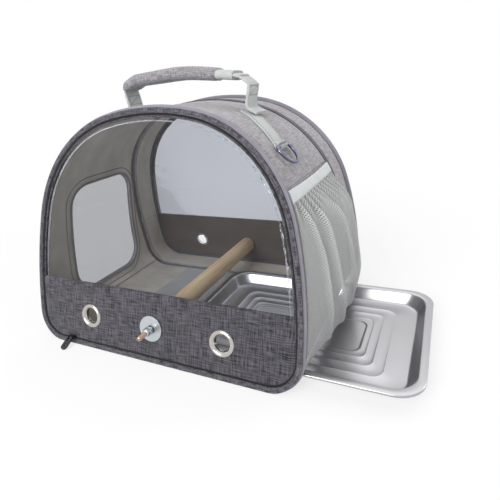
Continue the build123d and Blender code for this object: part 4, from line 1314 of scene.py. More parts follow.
@dataclass
class SideFlap:
    """The flap over the side opening: cloth, pleated mesh pocket and its elastic."""

    low: float = 27.0
    high: float = 203.5
    front_in: float = 17.5
    rear_in: float = 64.5
    pocket_low: float = 24.5
    pocket_high: float = 191.5
    pocket_front: float = 13.0
    pocket_rear: float = 59.5
    bulge: float = 24.0
    billow: float = 18.0
    elastic_low: float = 190.4
    elastic_high: float = 202.5
    # each fold: where it runs at four heights, how wide and high it is, and how much painted highlight and
    # shade it takes
    folds: tuple[tuple[tuple[float, ...], float, float, float], ...] = (
        ((0.06, 0.165, 0.20, 0.27), 0.020, 5.0, 1.0),
        ((0.21, 0.265, 0.32, 0.44), 0.024, 6.5, 1.0),
        ((0.40, 0.46, 0.54, 0.64), 0.036, 6.5, 0.7),
        ((0.62, 0.68, 0.72, 0.75), 0.045, 5.0, 0.5),
        ((0.82, 0.83, 0.84, 0.84), 0.050, 4.0, 0.3),
    )

    def span(self, z: float) -> tuple[float, float, float]:
        """Return the wall's outer X and the pocket's front and rear Y at a height."""
        x = ARCH.half_width(z, OUTER_IN)
        y0 = ARCH.lean(Face.FRONT, x, z, -self.pocket_front)[1]
        y1 = ARCH.lean(Face.REAR, x, z, -self.pocket_rear)[1]
        return x, y0, y1

    def build(self) -> None:
        """Build the flap, the pocket and the elastic."""
        self.cloth()
        self.pocket()
        self.elastic()

    def cloth(self) -> None:
        """Build the flap's own cloth with a bound foot."""
        shares = ARCH.shares(ARCH.share_at(self.low, OUTER_IN), ARCH.share_at(self.high, OUTER_IN), 5.0)
        outer, inner = [], []
        columns = 36
        for share in shares:
            rows = []
            for inset in (OUTER_IN, 4.0):
                x, z, _, _ = ARCH.spot(share, inset)
                y0 = ARCH.lean(Face.FRONT, x, z, -self.front_in)[1]
                y1 = ARCH.lean(Face.REAR, x, z, -self.rear_in)[1]
                row = []
                for j in range(columns + 1):
                    y = y0 + (y1 - y0) * j / columns
                    edge = fade(min(j, columns - j) / columns, 0.0, 0.06)
                    wave = 0.5 * ripple(y, z, 45.0, 31.0) * edge - 0.5 * (1 - edge)
                    px, pz, _, _ = ARCH.spot(share, inset - (wave if inset < 2 else 0.4 * wave))
                    row.append((px, y, pz))
                rows.append(row)
            outer.append(rows[0])
            inner.append(rows[1])
        step = shares[1] - shares[0]
        weaver = Weaver("flap_cloth")
        weaver.shell(outer, inner, lambda i, j: ((shares[0] + i * step) * ARCH.run, min(j, columns) * 5.0))
        dress(weaver.make([PALE_CLOTH, TAUPE]), "side_flap", "heather_mid", "side_flap")

    def fullness(self, z: float) -> float:
        """Return how far the pocket is filled out at a height, from nought at its mouth to one."""
        opened = math.sin(math.pi / 2 * min(1.0, max(0.0, 190.0 - z) / 40.0))
        return 0.12 + 0.88 * opened - 0.26 * fade(80.0 - z, 0.0, 58.0)

    def drape(self, share: float, down: float) -> Pair:
        """Return how far the folds lift the mesh at a spot, and the painted highlight and shade they put on it.
        """
        # the painted shading starts a little darker towards the mesh's foot
        lift, painted_shading = 0.0, -0.08 * down
        for path, wide, high, shading_weight in self.folds:
            part = min(int(down * 3), 2)
            way = path[part] + (path[part + 1] - path[part]) * (down * 3 - part)
            spread = wide * (0.7 + 0.5 * down)
            strength = fade(down, 0.0, 0.14) * (1 - 0.35 * fade(down, 0.7, 1.0))
            crest = math.exp(-(((share - way) / spread) ** 2))
            lee = math.exp(-(((share - way - 1.8 * spread) / spread) ** 2))
            lift += high * strength * (crest - 0.25 * lee)
            # painted highlight on each crest, partly standing for the mesh lying double there, and painted
            # shade in its lee
            painted_shading += shading_weight * strength * (0.26 * crest - 0.22 * lee)
        warp = 2.6 * noise.noise(Vector((share * 6, 0.0, 3.0)))
        gathers = math.sin(2 * math.pi * 14.0 * (share - 0.06 * down) + warp)
        short = 1 - fade(down, 0.03, 0.17 + 0.10 * noise.noise(Vector((share * 9, 2.0, 7.0))))
        lift += 2.0 * gathers * short * fade(down, -0.02, 0.03)
        # painted highlight on the gathers' ridges and painted shade in their hollows
        painted_shading += short * (0.10 * max(gathers, 0.0) - 0.42 * max(-gathers, 0.0) ** 0.8)
        return lift, painted_shading

    def mesh_point(self, share: float, z: float) -> Point:
        """Return a point of the mesh at a share of its width and a height."""
        down = (self.pocket_high - z) / (self.pocket_high - self.pocket_low)
        full = self.fullness(z)
        swell = self.bulge * full * abs(math.sin(math.pi * share**1.3)) ** 0.6
        drift = self.billow * full * math.sin(math.pi * share) * share
        pinned = fade(share, 0.0, 0.06) * (1 - fade(share, 0.94, 1.0))
        lift, _ = self.drape(share, down)
        loose = 1.0 * noise.noise(Vector((share * 6, down * 2.0, 5.0)))
        fine = 0.35 * noise.noise(Vector((share * 22, down * 5.0, 8.0)))
        x, y0, y1 = self.span(z)
        out = 2.2 + swell + (lift - 2.5 * fade(down, 0.05, 0.3) + loose + fine) * pinned
        return (x + max(out, 1.9), y0 + (y1 - y0) * share + drift, z)

    def pocket(self) -> None:
        """Build the mesh: gathered under its elastic, hanging in broad folds, turned in at its foot."""
        high, wide = 72, 190
        rows, places, painted_shading_values = [], [], []
        for i in range(high + 4):
            painted_shading_values.extend(self.drape(j / wide, min(i / high, 1.0))[1] for j in range(wide + 1))
        for i in range(high + 1):
            z = self.pocket_high + (self.pocket_low - self.pocket_high) * i / high
            row = [self.mesh_point(j / wide, z) for j in range(wide + 1)]
            across = (row[-1][1] - row[0][1]) * 1.25
            places.append([(row[0][1] + across * j / wide, z) for j in range(wide + 1)])
            rows.append(row)
        x = ARCH.half_width(self.pocket_low, OUTER_IN) + 1.0
        for drop, draw in ((1.2, 0.8), (1.7, 0.4), (1.8, 0.0)):
            rows.append([(x + (px - x) * draw, py, self.pocket_low - drop) for px, py, _ in rows[high]])
            places.append([(a, b - 18.0 * (1 - draw)) for a, b in places[high]])
        weaver = Weaver("pocket_mesh")
        weaver.grid(rows, lambda i, j: places[i][min(j, wide)])
        mesh = weaver.make([POCKET_NET], 180.0)
        # the mesh carries its folds' painted highlight and shade as a point attribute
        mesh.data.attributes.new(FOLD_PAINTED_SHADING, "FLOAT", "POINT").data.foreach_set("value", painted_shading_values)
        dress(mesh, "side_flap", "pocket_mesh", "mesh_pocket")

    def elastic(self) -> None:
        """Build the elastic that gathers the pocket's mouth, drawn tight over the shoulder."""
        rows = []
        count = 90
        half = (self.elastic_high - self.elastic_low) / 2
        for k in range(count + 1):
            share = k / count
            middle = self.elastic_low + half - 1.2 * math.sin(math.pi * share)
            bow = 1.0 + 1.2 * math.sin(math.pi * share) ** 0.8 + 0.18 * math.sin(2 * math.pi * 17 * share)
            row = []
            for rise, out in ((-1.0, 0.2), (-0.9, 1.3), (0.0, 1.5), (0.9, 1.2), (1.0, 0.1), (0.0, -0.2)):
                z = middle + half * rise
                x, y0, y1 = self.span(z)
                row.append((x + bow + out, y0 + (y1 - y0) * share, z))
            rows.append(row)
        weaver = Weaver("pocket_elastic_band")
        run = [0.0, 1.0, 7.0, 12.0, 13.0, 19.0, 25.0]
        weaver.rod(rows, lambda i, j: (i * 2.6, run[j]))
        dress(weaver.make([ELASTIC]), "side_flap", "elastic_white", "pocket_elastic")


@dataclass
class RearSection:
    """The rear gusset strip below and above the band, with bindings, border and clear cover."""

    band_top: float = 90.0
    gap: float = 0.6

    def build(self) -> None:
        """Build the fixed lower part and the cover that opens."""
        foot = ARCH.share_at(self.band_top, 0.0)
        cover = ARCH.share_at(self.band_top + self.gap, 0.0)
        self.gusset("rear_lower_gusset", "root", "rear_tub", 1 - foot, 1 + foot)
        self.gusset("rear_cover_gusset", "rear_cover", "rear_cover_rim", cover, 1 - cover)
        EdgeBinding(Face.REAR, "rear_lower_binding", "root", "rear_tub_binding", 1 - foot, 1 + foot).build()
        EdgeBinding(Face.REAR, "rear_cover_edge", "rear_cover", "rear_cover_binding", cover, 1 - cover).build()
        top, body = self.band_top, "rear_cover"
        BandPanel(Face.REAR, "rear_foot_band", "rear_band", top, 6.0, DARK_CLOTH, UMBER, "heather_dark").build()
        Eyelets(Face.REAR, "rear_eyelet_pair", "rear_eyelets").build()
        top += self.gap
        ClothBorder(Face.REAR, "rear_border", body, "rear_cover_border", top, 7.0, 10.4).build()
        ClearPanel(Face.REAR, "rear_clear_panel", body, "rear_window", top, 7.0, -3.6, REAR_CLEAR).build()

    def gusset(self, name: str, body: str, node: str, start: float, end: float) -> None:
        """Build one run of the rear gusset strip, lined inside."""
        shares = ARCH.shares(start, end, 6.0)
        outer, inner = [], []
        for share in shares:
            rows = []
            for inset in (OUTER_IN, LINING_IN):
                row = []
                for j in range(9):
                    out = -48.8 + 39.6 * j / 8
                    edge = 1 - fade(min(j, 8 - j), 0.0, 1.2)
                    lift = 0.5 * ripple(share * ARCH.run, out, 34.0, 41.0) * (1 - edge) - 0.6 * edge
                    x, z, _, _ = ARCH.spot(share, inset - (lift if inset < 2 else 0.0))
                    row.append(ARCH.lean(Face.REAR, x, z, out))
                rows.append(row)
            outer.append(rows[0])
            inner.append(rows[1])
        step = shares[1] - shares[0]
        weaver = Weaver(name)
        weaver.shell(outer, inner, lambda i, j: ((shares[0] + i * step) * ARCH.run, min(j, 8) * 5.0))
        dress(weaver.make([PALE_CLOTH, TAUPE]), body, "heather_mid", node)


# ---------------------------------------------------------------- perch and fixings


@dataclass
class Perch:
    """The wooden perch, its threaded studs, washers and wing nuts."""

    z: float = 42.0
    radius: float = 12.5
    front_y: float = -131.8
    rear_y: float = 136.13
    stud_front: float = -164.54
    stud_rear: float = 167.79
    stud_r: float = 3.0
    pitch: float = 1.25

    def build(self) -> None:
        """Build the dowel, the studs, the washers and both wing nuts."""
        self.dowel()
        self.studs()
        self.washers()
        self.wing_nut("front_wing_nut_body", "front_wing_nut", -144.05, -1, 35.0)
        self.wing_nut("rear_wing_nut_body", "rear_wing_nut", 147.27, 1, 60.0)

    def dowel(self) -> None:
        """Build the dowel with softly rounded ends."""
        long = self.rear_y - self.front_y
        profile = [(0.01, 0.0), (11.0, 0.0), (12.1, 0.4), (self.radius, 1.2), (self.radius, long - 1.2),
            (12.1, long - 0.4), (11.0, long), (0.01, long)]
        weaver = Weaver("perch_dowel")
        revolve(weaver, profile, (0.0, self.front_y, self.z), Vector((0, 1, 0)), 64)
        dress(weaver.make([BEECH]), "root", "beech", "perch")

    def studs(self) -> None:
        """Build the two studs with a rolled thread."""
        weaver = Weaver("perch_threads")
        for start, end in ((self.stud_front, self.front_y), (self.rear_y, self.stud_rear)):
            steps = int((end - start) / (self.pitch / 6))
            rows = []
            for i in range(steps + 1):
                y = start + (end - start) * i / steps
                tip = min(fade(y, self.stud_front - 0.01, self.stud_front + 1.2),
                    1 - fade(y, self.stud_rear - 1.2, self.stud_rear + 0.01))
                row = []
                for k in range(20):
                    angle = 2 * math.pi * k / 20
                    groove = 0.5 - 0.5 * math.cos(2 * math.pi * y / self.pitch - angle)
                    radius = (self.stud_r - 0.42 * groove) * (0.72 + 0.28 * tip)
                    row.append((radius * math.cos(angle), y, self.z + radius * math.sin(angle)))
                rows.append(row)
            weaver.rod(rows, lambda i, j: (j * 1.0, i * 0.2))
        dress(weaver.make([YELLOW_ZINC]), "root", "yellow_zinc", "perch_studs")

    def washers(self) -> None:
        """Build the two penny washers with rolled edges."""
        profile = [(3.9, 0.0), (15.6, 0.0), (16.0, 0.35), (16.0, 1.15), (15.6, 1.5), (4.3, 1.5), (3.9, 1.1)]
        weaver = Weaver("penny_washers")
        for face in (Face.FRONT, Face.REAR):
            revolve(weaver, profile, ARCH.lean(face, 0.0, self.z, -0.3), ARCH.normal(face), 72)
        dress(weaver.make([ZINC], 30.0), "root", "zinc", "perch_washers")

    def wing_nut(self, name: str, node: str, seat: float, way: int, turn: float) -> None:
        """Build one wing nut: a turned hub and two swept wings.

        Args:
            name: Name of the piece.
            node: CAD node that it stands for.
            seat: Y of its foot.
            way: -1 if it points to the front and 1 if to the rear.
            turn: Angle of its wings about the perch's axis, in degrees.
        """
        weaver = Weaver(name)
        axis = Vector((0, way, 0))
        profile = [(3.1, 0.0), (5.3, 0.0), (5.6, 0.5), (5.0, 5.6), (4.4, 7.4), (3.9, 8.0), (3.1, 8.0)]
        revolve(weaver, profile, (0.0, seat, self.z), axis, 40)
        across = Vector((math.cos(math.radians(turn)), 0, math.sin(math.radians(turn))))
        thick = axis.cross(across)
        for side in (-1, 1):
            rows = []
            for k in range(11):
                t = k / 10
                r = 4.4 + 11.0 * t
                rise = 4.2 + 5.4 * t**1.3
                half = 3.0 + 0.9 * math.sin(math.pi * t) - 1.2 * t if k < 10 else 0.8
                width = 1.3 - 0.35 * t if k < 10 else 0.5
                centre = Vector((0, seat, self.z)) + across * (side * r) + axis * rise
                ring = []
                for m in range(12):
                    a = 2 * math.pi * m / 12
                    ring.append(tuple(centre + axis * (half * math.cos(a)) + thick * (width * math.sin(a))))
                rows.append(ring)
            weaver.rod(rows, lambda i, j: (float(i), float(j)))
        dress(weaver.make([ZINC], 60.0), node, "zinc", node)


# ---------------------------------------------------------------- tray


@dataclass
class Tray:
    """The pressed tray: a rolled rim, drawn walls and nested raised beads in its floor."""

    centre: Pair = (156.0, -29.5)
    long: float = 300.0
    wide: float = 213.0
    rim_z: float = 21.5
    floor_z: float = 6.4
    sheet: float = 0.8
    bead: float = 0.3

    def bead_rings(self) -> list[tuple[float, float, float, float]]:
        """Return each pressed line's outer length, outer width, bead width and corner radius."""
        floor_long, floor_wide = 264.0, 177.0
        return [(floor_long * 0.82, floor_wide * 0.80, 2.6, 15.0),
            (floor_long * 0.72, floor_wide * 0.63, 2.6, 12.0),
            (floor_long * 0.64, floor_wide * 0.48, 2.4, 10.0)]

    def stations(self) -> list[tuple[float, float, float, float]]:
        """Return length, width, corner radius and height of each ring from the rim inwards."""
        # how much smaller than the tray each ring is, its corner radius, and its height from the rim or floor
        rim = ((1.0, 29.5, -3.0), (0.0, 30.0, -2.6), (0.0, 30.0, -0.9), (0.6, 29.8, -0.3), (1.8, 29.5, 0.0),
            (8.0, 28.4, 0.05), (15.0, 27.0, -0.1), (17.6, 26.6, -0.7), (19.4, 26.2, -2.2), (26.0, 24.4, -7.8))
        foot = ((33.0, 22.6, 1.9), (35.4, 22.0, 0.6), (39.0, 21.4, 0.0))
        made = []
        for rings, level in ((rim, self.rim_z), (foot, self.floor_z)):
            made += [(self.long - less, self.wide - less, radius, level + rise) for less, radius, rise in rings]
        for long, wide, bead, radius in self.bead_rings():
            for share in (0.0, 0.18, 0.36, 0.5, 0.64, 0.82, 1.0):
                rise = self.bead * math.sin(math.pi * share) ** 1.2
                cut_in = 2 * bead * share
                corner = max(radius - bead * share, 2.5)
                made.append((long - cut_in, wide - cut_in, corner, self.floor_z + rise))
        for cut_in, rise in ((-5.0, 0.7), (0.0, 0.8), (0.8, 0.7), (2.0, 0.3), (3.2, 0.0), (4.4, -0.05),
                (9.0, 0.0), (30.0, 0.0)):
            made.append((152.0 - cut_in, 66.0 - cut_in, max(11.0 - cut_in / 2, 2.0), self.floor_z + rise))
        return made

    def ring(self, long: float, wide: float, radius: float, z: float) -> list[Point]:
        """Return one rounded rectangle of points, the same count for every ring."""
        cx, cy = self.centre
        points = []
        corners = ((1, 1, 0), (-1, 1, 90), (-1, -1, 180), (1, -1, 270))
        for n, (sx, sy, begin) in enumerate(corners):
            ox, oy = cx + sx * (long / 2 - radius), cy + sy * (wide / 2 - radius)
            arc = []
            for k in range(13):
                a = math.radians(begin + 90 * k / 12)
                arc.append((ox + radius * math.cos(a), oy + radius * math.sin(a), z))
            points.extend(arc)
            nx, ny, _ = corners[(n + 1) % 4]
            ex, ey = cx + nx * (long / 2 - radius), cy + ny * (wide / 2 - radius)
            a = math.radians(begin + 90)
            end = (ex + radius * math.cos(a), ey + radius * math.sin(a))
            for k in range(1, 18):
                t = k / 18
                x, y, _ = arc[-1]
                points.append((x + (end[0] - x) * t, y + (end[1] - y) * t, z))
        return points

    def build(self) -> None:
        """Build the tray's pressed sheet and give it its thickness."""
        weaver = Weaver("steel_tray")
        rows = [self.ring(*station) for station in self.stations()]
        wide = len(rows[0])
        weaver.grid(rows, lambda i, j: (j * 5.0, i * 5.0), False, True)
        start = (len(rows) - 1) * wide
        weaver.face(list(range(start, start + wide)), [(0.0, 0.0)] * wide)
        tray = weaver.make([STEEL], 60.0)
        if tray.data.polygons[len(tray.data.polygons) - 1].normal.z < 0:
            tray.data.flip_normals()
        thickness = tray.modifiers.new("sheet", "SOLIDIFY")
        thickness.thickness = self.sheet * MM
        thickness.offset = -1.0
        settle(tray, 60.0)
        dress(tray, "tray", "stainless", "tray")


# ---------------------------------------------------------------- handle and straps


@dataclass
class Handle:
    """The carrying handle: webbing from roof to roof, with a padded grip wrapped round it."""

    left_x: float = -78.0
    right_x: float = 90.0
    foot_z: float = 279.584
    top: float = 321.0
    web_wide: float = 28.0
    web_thick: float = 2.0
    grip_wide: float = 33.0
    grip_thick: float = 14.5
    grip_end: float = 57.0

    def path(self) -> list[Pair]:
        """Return the handle's line in X and Z, from the left foot to the right."""
        left, right, top = self.left_x, self.right_x, self.top
        corners = [(left, self.foot_z), (left - 5, top - 9), (left + 13, top - 1.5), (7.0, top + 1.5),
            (right - 7, top - 8), (right + 6.5, top - 18), (right, self.foot_z)]
        return filleted(corners, [8.0, 20.0, 240.0, 12.0, 7.0], 2.0)

    @staticmethod
    def normals(path: Sequence[Pair]) -> list[Pair]:
        """Return the outward direction at each point of a line in X and Z."""
        made = []
        for k in range(len(path)):
            a, b = path[max(k - 1, 0)], path[min(k + 1, len(path) - 1)]
            dx, dz = b[0] - a[0], b[1] - a[1]
            size = math.hypot(dx, dz)
            made.append((-dz / size, dx / size))
        return made

    def build(self) -> None:
        """Build the webbing, the grip and the pale wrap beside it."""
        path = self.path()
        outs = self.normals(path)
        self.webbing(path, outs)
        self.grip(path, outs)
        self.wrap(path, outs)
        self.feet()

    def feet(self) -> None:
        """Build the webbing that comes off each shoulder strap and is sewn to the foot of a leg."""
        weaver = Weaver("handle_feet")
        stitches = Weaver("handle_feet_stitches")
        for foot_x, side in ((self.right_x, 1.0), (self.left_x, -1.0)):
            low = self.foot_z - 2.2
            lean = 0.24 if side > 0 else -0.154
            corners = [(foot_x + side * 13.0, low - 5.6), (foot_x + side * 2.0, low + 0.4),
                (foot_x + lean * 3.0, self.foot_z + 3.0), (foot_x + lean * 24.0, self.foot_z + 24.0)]
            line = filleted(corners, [3.0, 6.0], 1.6)
            outs = self.normals(line)
            rows = []
            for (x, z), (nx, nz) in zip(line, outs):
                t, half = 1.45, self.web_wide / 2 + 0.2
                rows.append([(x + nx * t, -half + 0.7, z + nz * t), (x + nx * t, half - 0.7, z + nz * t),
                    (x, half, z), (x - nx * t, half - 0.7, z - nz * t), (x - nx * t, -half + 0.7, z - nz * t),
                    (x, -half, z)])  # six corners: two above, two below and one at each edge
            across = [0.0, 27.0, 28.0, 29.0, 56.0, 57.0, 58.0]
            weaver.rod(rows, lambda i, j: (across[j], i * 1.6))
            box = [(-10.0, 12.0), (10.0, 12.0), (10.0, 22.0), (-10.0, 22.0), (-10.0, 12.0), (10.0, 22.0)]
            for flip in (-1.0, 1.0):
                for (y0, h0), (y1, h1) in zip(box, box[1:]):
                    count = int(math.dist((y0, h0), (y1, h1)) / 1.5)
                    path = []
                    for k in range(count + 1):
                        h = h0 + (h1 - h0) * k / count
                        x = foot_x + lean * h + flip * 1.6
                        path.append(Vector((x, y0 + (y1 - y0) * k / count, self.foot_z + h)))
                    stitch_line(stitches, path, [Vector((flip, 0, 0))] * len(path), 1.9)
        feet = weaver.make([WEBBING])
        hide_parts("handle_tabs")
        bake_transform(feet)
        log.info("%s bend between the roof and the handle", feet.name)
        dress(stitches.make([THREAD_DARK]), "handle", "webbing_grey")

    def webbing(self, path: Sequence[Pair], outs: Sequence[Pair]) -> None:
        """Build the webbing as a flat band, rounded at its feet."""
        rows = []
        for (x, z), (nx, nz) in zip(path, outs):
            half = self.web_wide / 2
            near = min(z - self.foot_z, half)
            if near < half:
                half = max(math.sqrt(max(half**2 - (half - near) ** 2, 0.0)), 5.0)
            t = self.web_thick / 2
            rows.append([(x + nx * t, -half + 0.6, z + nz * t), (x + nx * t, 0.0, z + nz * t),
                (x + nx * t, half - 0.6, z + nz * t), (x, half, z), (x - nx * t, half - 0.6, z - nz * t),
                (x - nx * t, 0.0, z - nz * t), (x - nx * t, -half + 0.6, z - nz * t), (x, -half, z)])
        across = [0.0, 14.0, 28.0, 29.0, 30.0, 44.0, 58.0, 59.0, 60.0]
        weaver = Weaver("handle_web")
        weaver.rod(rows, lambda i, j: (across[j], i * 2.0))
        dress(weaver.make([WEBBING]), "handle", "webbing_grey", "handle_webbing")

    def grip(self, path: Sequence[Pair], outs: Sequence[Pair]) -> None:
        """Build the padded grip: a plump sleeve, gathered at its ends, with a seam underneath."""
        rows, runs = [], []
        low = self.top - 13.5
        numbered = zip(path, outs, range(len(path)))
        picked = [(p, n, k) for p, n, k in numbered if p[0] < self.grip_end and p[1] > low]
        count = len(picked)
        for i, ((x, z), (nx, nz), k) in enumerate(picked):
            t = i / (count - 1)
            ends = fade(t, 0.0, 0.05) * (1 - fade(t, 0.955, 1.0))
            size = 0.62 + 0.38 * ends
            row = []
            for m in range(36):
                a = 2 * math.pi * m / 36
                c, s = math.cos(a), math.sin(a)
                wave = 1 + 0.03 * noise.noise(Vector((k * 0.22, c * 2, s * 2)))
                half_w = self.grip_wide / 2 * (0.9 + 0.1 * ends) * wave
                half_t = self.grip_thick / 2 * size * wave * (1.0 + 0.12 * math.sin(math.pi * t))
                side = half_w * math.copysign(abs(c) ** 0.75, c)
                rise = half_t * math.copysign(abs(s) ** 0.85, s)
                crease = 0.5 * math.exp(-((m - 27) ** 2) / 1.2)
                rise += crease if s < 0 else 0.0
                row.append((x + nx * rise, side, z + nz * rise))
            rows.append(row)
            runs.append(k * 2.0)
        weaver = Weaver("handle_grip_sleeve")
        weaver.rod(rows, lambda i, j: (runs[min(i, count - 1)], j * 2.4))
        grip = weaver.make([GRIP_CLOTH], 60.0)
        dress(grip, "handle", "handle_grey", "handle_pad")

    def wrap(self, path: Sequence[Pair], outs: Sequence[Pair]) -> None:
        """Build the pale webbing wrapped round the handle beside the grip, with its open folded end."""
        weaver = Weaver("handle_wrap")
        for first, last, thick, wide in ((53.0, 78.0, 10.5, 31.0), (76.0, 86.0, 5.0, 29.0)):
            picked = [(p, n) for p, n in zip(path, outs) if first <= p[0] <= last and p[1] > self.top - 14.0]
            rows = []
            for i, ((x, z), (nx, nz)) in enumerate(picked):
                row = []
                for m in range(28):
                    a = 2 * math.pi * m / 28
                    c, s = math.cos(a), math.sin(a)
                    side = wide / 2 * math.copysign(abs(c) ** 0.6, c)
                    rise = thick / 2 * math.copysign(abs(s) ** 0.7, s)
                    row.append((x + nx * rise, side, z + nz * rise))
                rows.append(row)
            weaver.rod(rows, lambda i, j: (j * 2.8, i * 3.0))
        dress(weaver.make([WEBBING], 60.0), "handle", "webbing_grey")


@dataclass
class ShoulderStrap:
    """The short strap sewn down one shoulder, with the loop that holds its D ring."""

    side: Side
    node: str
    top_x: float
    bar_x: float = 142.1855
    bar_z: float = 240.4516
    start_y: float = -2.0
    ring_y: float = -41.0
    start_half: float = 14.0
    end_half: float = 12.0
    loop_half: float = 9.0
    loop_r: float = 2.85
    thick: float = 1.5

    def build(self) -> None:
        """Build the strap along the roof and round the ring's bar."""
        start, end = self.share_for_x(self.top_x), self.share_for_x(self.bar_x)
        flip, t = self.side.value, self.thick / 2
        steps = 30
        rows = []
        for k in range(steps + 1):
            part = k / steps
            x, z, nx, nz = ARCH.spot(start + (end - start) * part, -0.2)
            y = self.start_y + (self.ring_y - self.start_y) * part
            half = self.start_half + (self.end_half - self.start_half) * part
            rows.append(self.section(flip, (x, z), (nx, nz), y, half, t))
        out = math.atan2(nz, nx)
        for k in range(1, 19):
            angle = out - 2 * math.pi * k / 20
            nx, nz = math.cos(angle), math.sin(angle)
            place = (self.bar_x + self.loop_r * nx, self.bar_z + self.loop_r * nz)
            rows.append(self.section(flip, place, (nx, nz), self.ring_y, self.loop_half, t))
        weaver = Weaver(f"{self.side.name.lower()}_shoulder_strap")
        across = [0.0, 24.0, 25.5, 49.5, 51.0]
        weaver.rod(rows, lambda i, j: (across[j], i * 2.2))
        dress(weaver.make([WEBBING]), "root", "webbing_grey", self.node)
        self.sew(start, end, flip)

    @staticmethod
    def section(flip: int, place: Pair, out: Pair, y: float, half: float, t: float) -> list[Point]:
        """Return the four corners of the strap's section at a place in X and Z."""
        (x, z), (nx, nz) = place, out
        return [(flip * (x + nx * t), y - half, z + nz * t), (flip * (x + nx * t), y + half, z + nz * t),
            (flip * (x - nx * t), y + half, z - nz * t), (flip * (x - nx * t), y - half, z - nz * t)]

    def sew(self, start: float, end: float, flip: int) -> None:
        """Add a row of stitches along each edge of the strap."""
        weaver = Weaver(f"{self.side.name.lower()}_strap_stitches")
        for edge in (-1, 1):
            path, ups = [], []
            for k in range(34):
                part = 0.04 + 0.9 * k / 33
                x, z, nx, nz = ARCH.spot(start + (end - start) * part, -1.05)
                half = self.start_half + (self.end_half - self.start_half) * part - 2.2
                y = self.start_y + (self.ring_y - self.start_y) * part + edge * half
                path.append(Vector((flip * x, y, z)))
                ups.append(Vector((flip * nx, 0, nz)))
            stitch_line(weaver, path, ups)
        dress(weaver.make([THREAD_DARK]), "root", "webbing_grey")

    def share_for_x(self, x: float) -> float:
        """Return the share of the right half's roof that has an X."""
        low, high = 0.25, 0.5
        for _ in range(40):
            middle = (low + high) / 2
            if ARCH.spot(middle, -0.2)[0] > x:
                low = middle
            else:
                high = middle
        return low


# ---------------------------------------------------------------- studio


SENSOR_MM = 36.0


@dataclass
class Studio:
    """The pale floor, the soft lights and the camera at the picture's own place."""

    place: Point = (0.3005, -0.4519, 0.3039)
    right: Point = (0.90501651, 0.41711365, -0.08343451)
    down: Point = (0.089926, -0.37931685, -0.92088655)
    ahead: Point = (-0.41576246, 0.82591461, -0.38079738)
    focal_share: float = 0.8004  # focal length as a share of the picture's width
    shift: Pair = (-0.0014, -0.0022)

    def build(self) -> None:
        """Build the floor, the lights and the camera."""
        self.floor()
        self.world()
        self.lamp("key_softbox", (-0.2, -1.6, 1.0), (0.0, 0.0, 0.12), 1.0, 26.0)
        self.lamp("fill_softbox", (1.4, 0.9, 0.9), (0.1, 0.0, 0.1), 0.6, 5.0)
        self.lamp("top_softbox", (0.1, 0.5, 1.7), (0.0, 0.0, 0.1), 2.2, 11.5)
        self.camera()

    def floor(self) -> None:
        """Build the floor, which stays near white to the camera but keeps soft shadows."""
        mesh = bpy.data.meshes.new("studio_floor")
        r = 6.0
        mesh.from_pydata([(-r, -r, 0), (r, -r, 0), (r, r, 0), (-r, r, 0)], [], [(0, 1, 2, 3)])
        ground = bpy.data.objects.new("studio_floor", mesh)
        ground.location.z = -0.0004
        bpy.context.scene.collection.objects.link(ground)
        paper = bpy.data.materials.new("pale_paper")
        paper.use_nodes = True
        tree = paper.node_tree
        tree.nodes.clear()
        diffuse = add_node(tree, "BsdfDiffuse", {"Color": linear("#f4f4f4")}).outputs["BSDF"]
        glow = add_node(tree, "Emission", {"Color": (1, 1, 1, 1), "Strength": 1.0}).outputs["Emission"]
        place = add_node(tree, "TexCoord").outputs["Object"]
        reach = add_node(tree, "VectorMath", {0: place}, operation="LENGTH").outputs["Value"]
        # the shadow fades out within half a metre of the bag, and beyond that the paper is plain white
        share = calc(tree, "MULTIPLY", self.seen(tree), remap(tree, reach, 0.35, 0.8, 0.72, 1.0))
        mixed = add_node(tree, "MixShader", {0: share, 1: diffuse, 2: glow}).outputs["Shader"]
        add_node(tree, "OutputMaterial", {"Surface": mixed})
        mesh.materials.append(paper)

    @staticmethod
    def seen(tree: Tree) -> Socket:
        """Return one for rays from the camera, direct or by way of glass or metal, and nought for light."""
        rays = add_node(tree, "LightPath").outputs
        first = calc(tree, "MAXIMUM", rays["Is Camera Ray"], rays["Is Transmission Ray"])
        return calc(tree, "MAXIMUM", first, rays["Is Glossy Ray"])

    def world(self) -> None:
        """Build the surroundings: white where they are seen, dimmer where they light the object."""
        world = bpy.data.worlds.new("studio")
        bpy.context.scene.world = world
        world.use_nodes = True
        tree = world.node_tree
        tree.nodes.clear()
        level = remap(tree, self.seen(tree), 0.0, 1.0, 0.5, 1.0)
        sky = add_node(tree, "Background", {"Color": (1, 1, 1, 1), "Strength": level}).outputs["Background"]
        add_node(tree, "OutputWorld", {"Surface": sky})

    def lamp(self, name: str, place: Point, target: Point, size: float, watts: float) -> None:
        """Add one square softbox that faces a target."""
        data = bpy.data.lights.new(name, "AREA")
        data.energy = watts
        data.size = size
        lamp = bpy.data.objects.new(name, data)
        lamp.location = place
        aim = Vector(target) - Vector(place)
        lamp.rotation_euler = aim.to_track_quat("-Z", "Y").to_euler()
        bpy.context.scene.collection.objects.link(lamp)

    def camera(self) -> None:
        """Set the camera at the place and angle worked out from the picture."""
        data = bpy.data.cameras.new("camera")
        data.sensor_width = SENSOR_MM
        data.lens = self.focal_share * SENSOR_MM
        data.shift_x, data.shift_y = self.shift
        data.clip_start = 0.01
        camera = bpy.data.objects.new("camera", data)
        turned = Matrix((self.right, tuple(-c for c in self.down), tuple(-c for c in self.ahead))).transposed()
        camera.matrix_world = Matrix.Translation(self.place) @ turned.to_4x4()
        bpy.context.scene.collection.objects.link(camera)
        bpy.context.scene.camera = camera
        bpy.context.scene.view_settings.view_transform = "Standard"


KEPT_NODES = {"front_hoop": SPRING, "rear_hoop": SPRING, "right_d_ring": GUNMETAL, "left_d_ring": GUNMETAL,
    "front_slider": ZIP_COIL, "front_pull": ZIP_COIL, "rear_slider": ZIP_COIL, "rear_pull": ZIP_COIL}


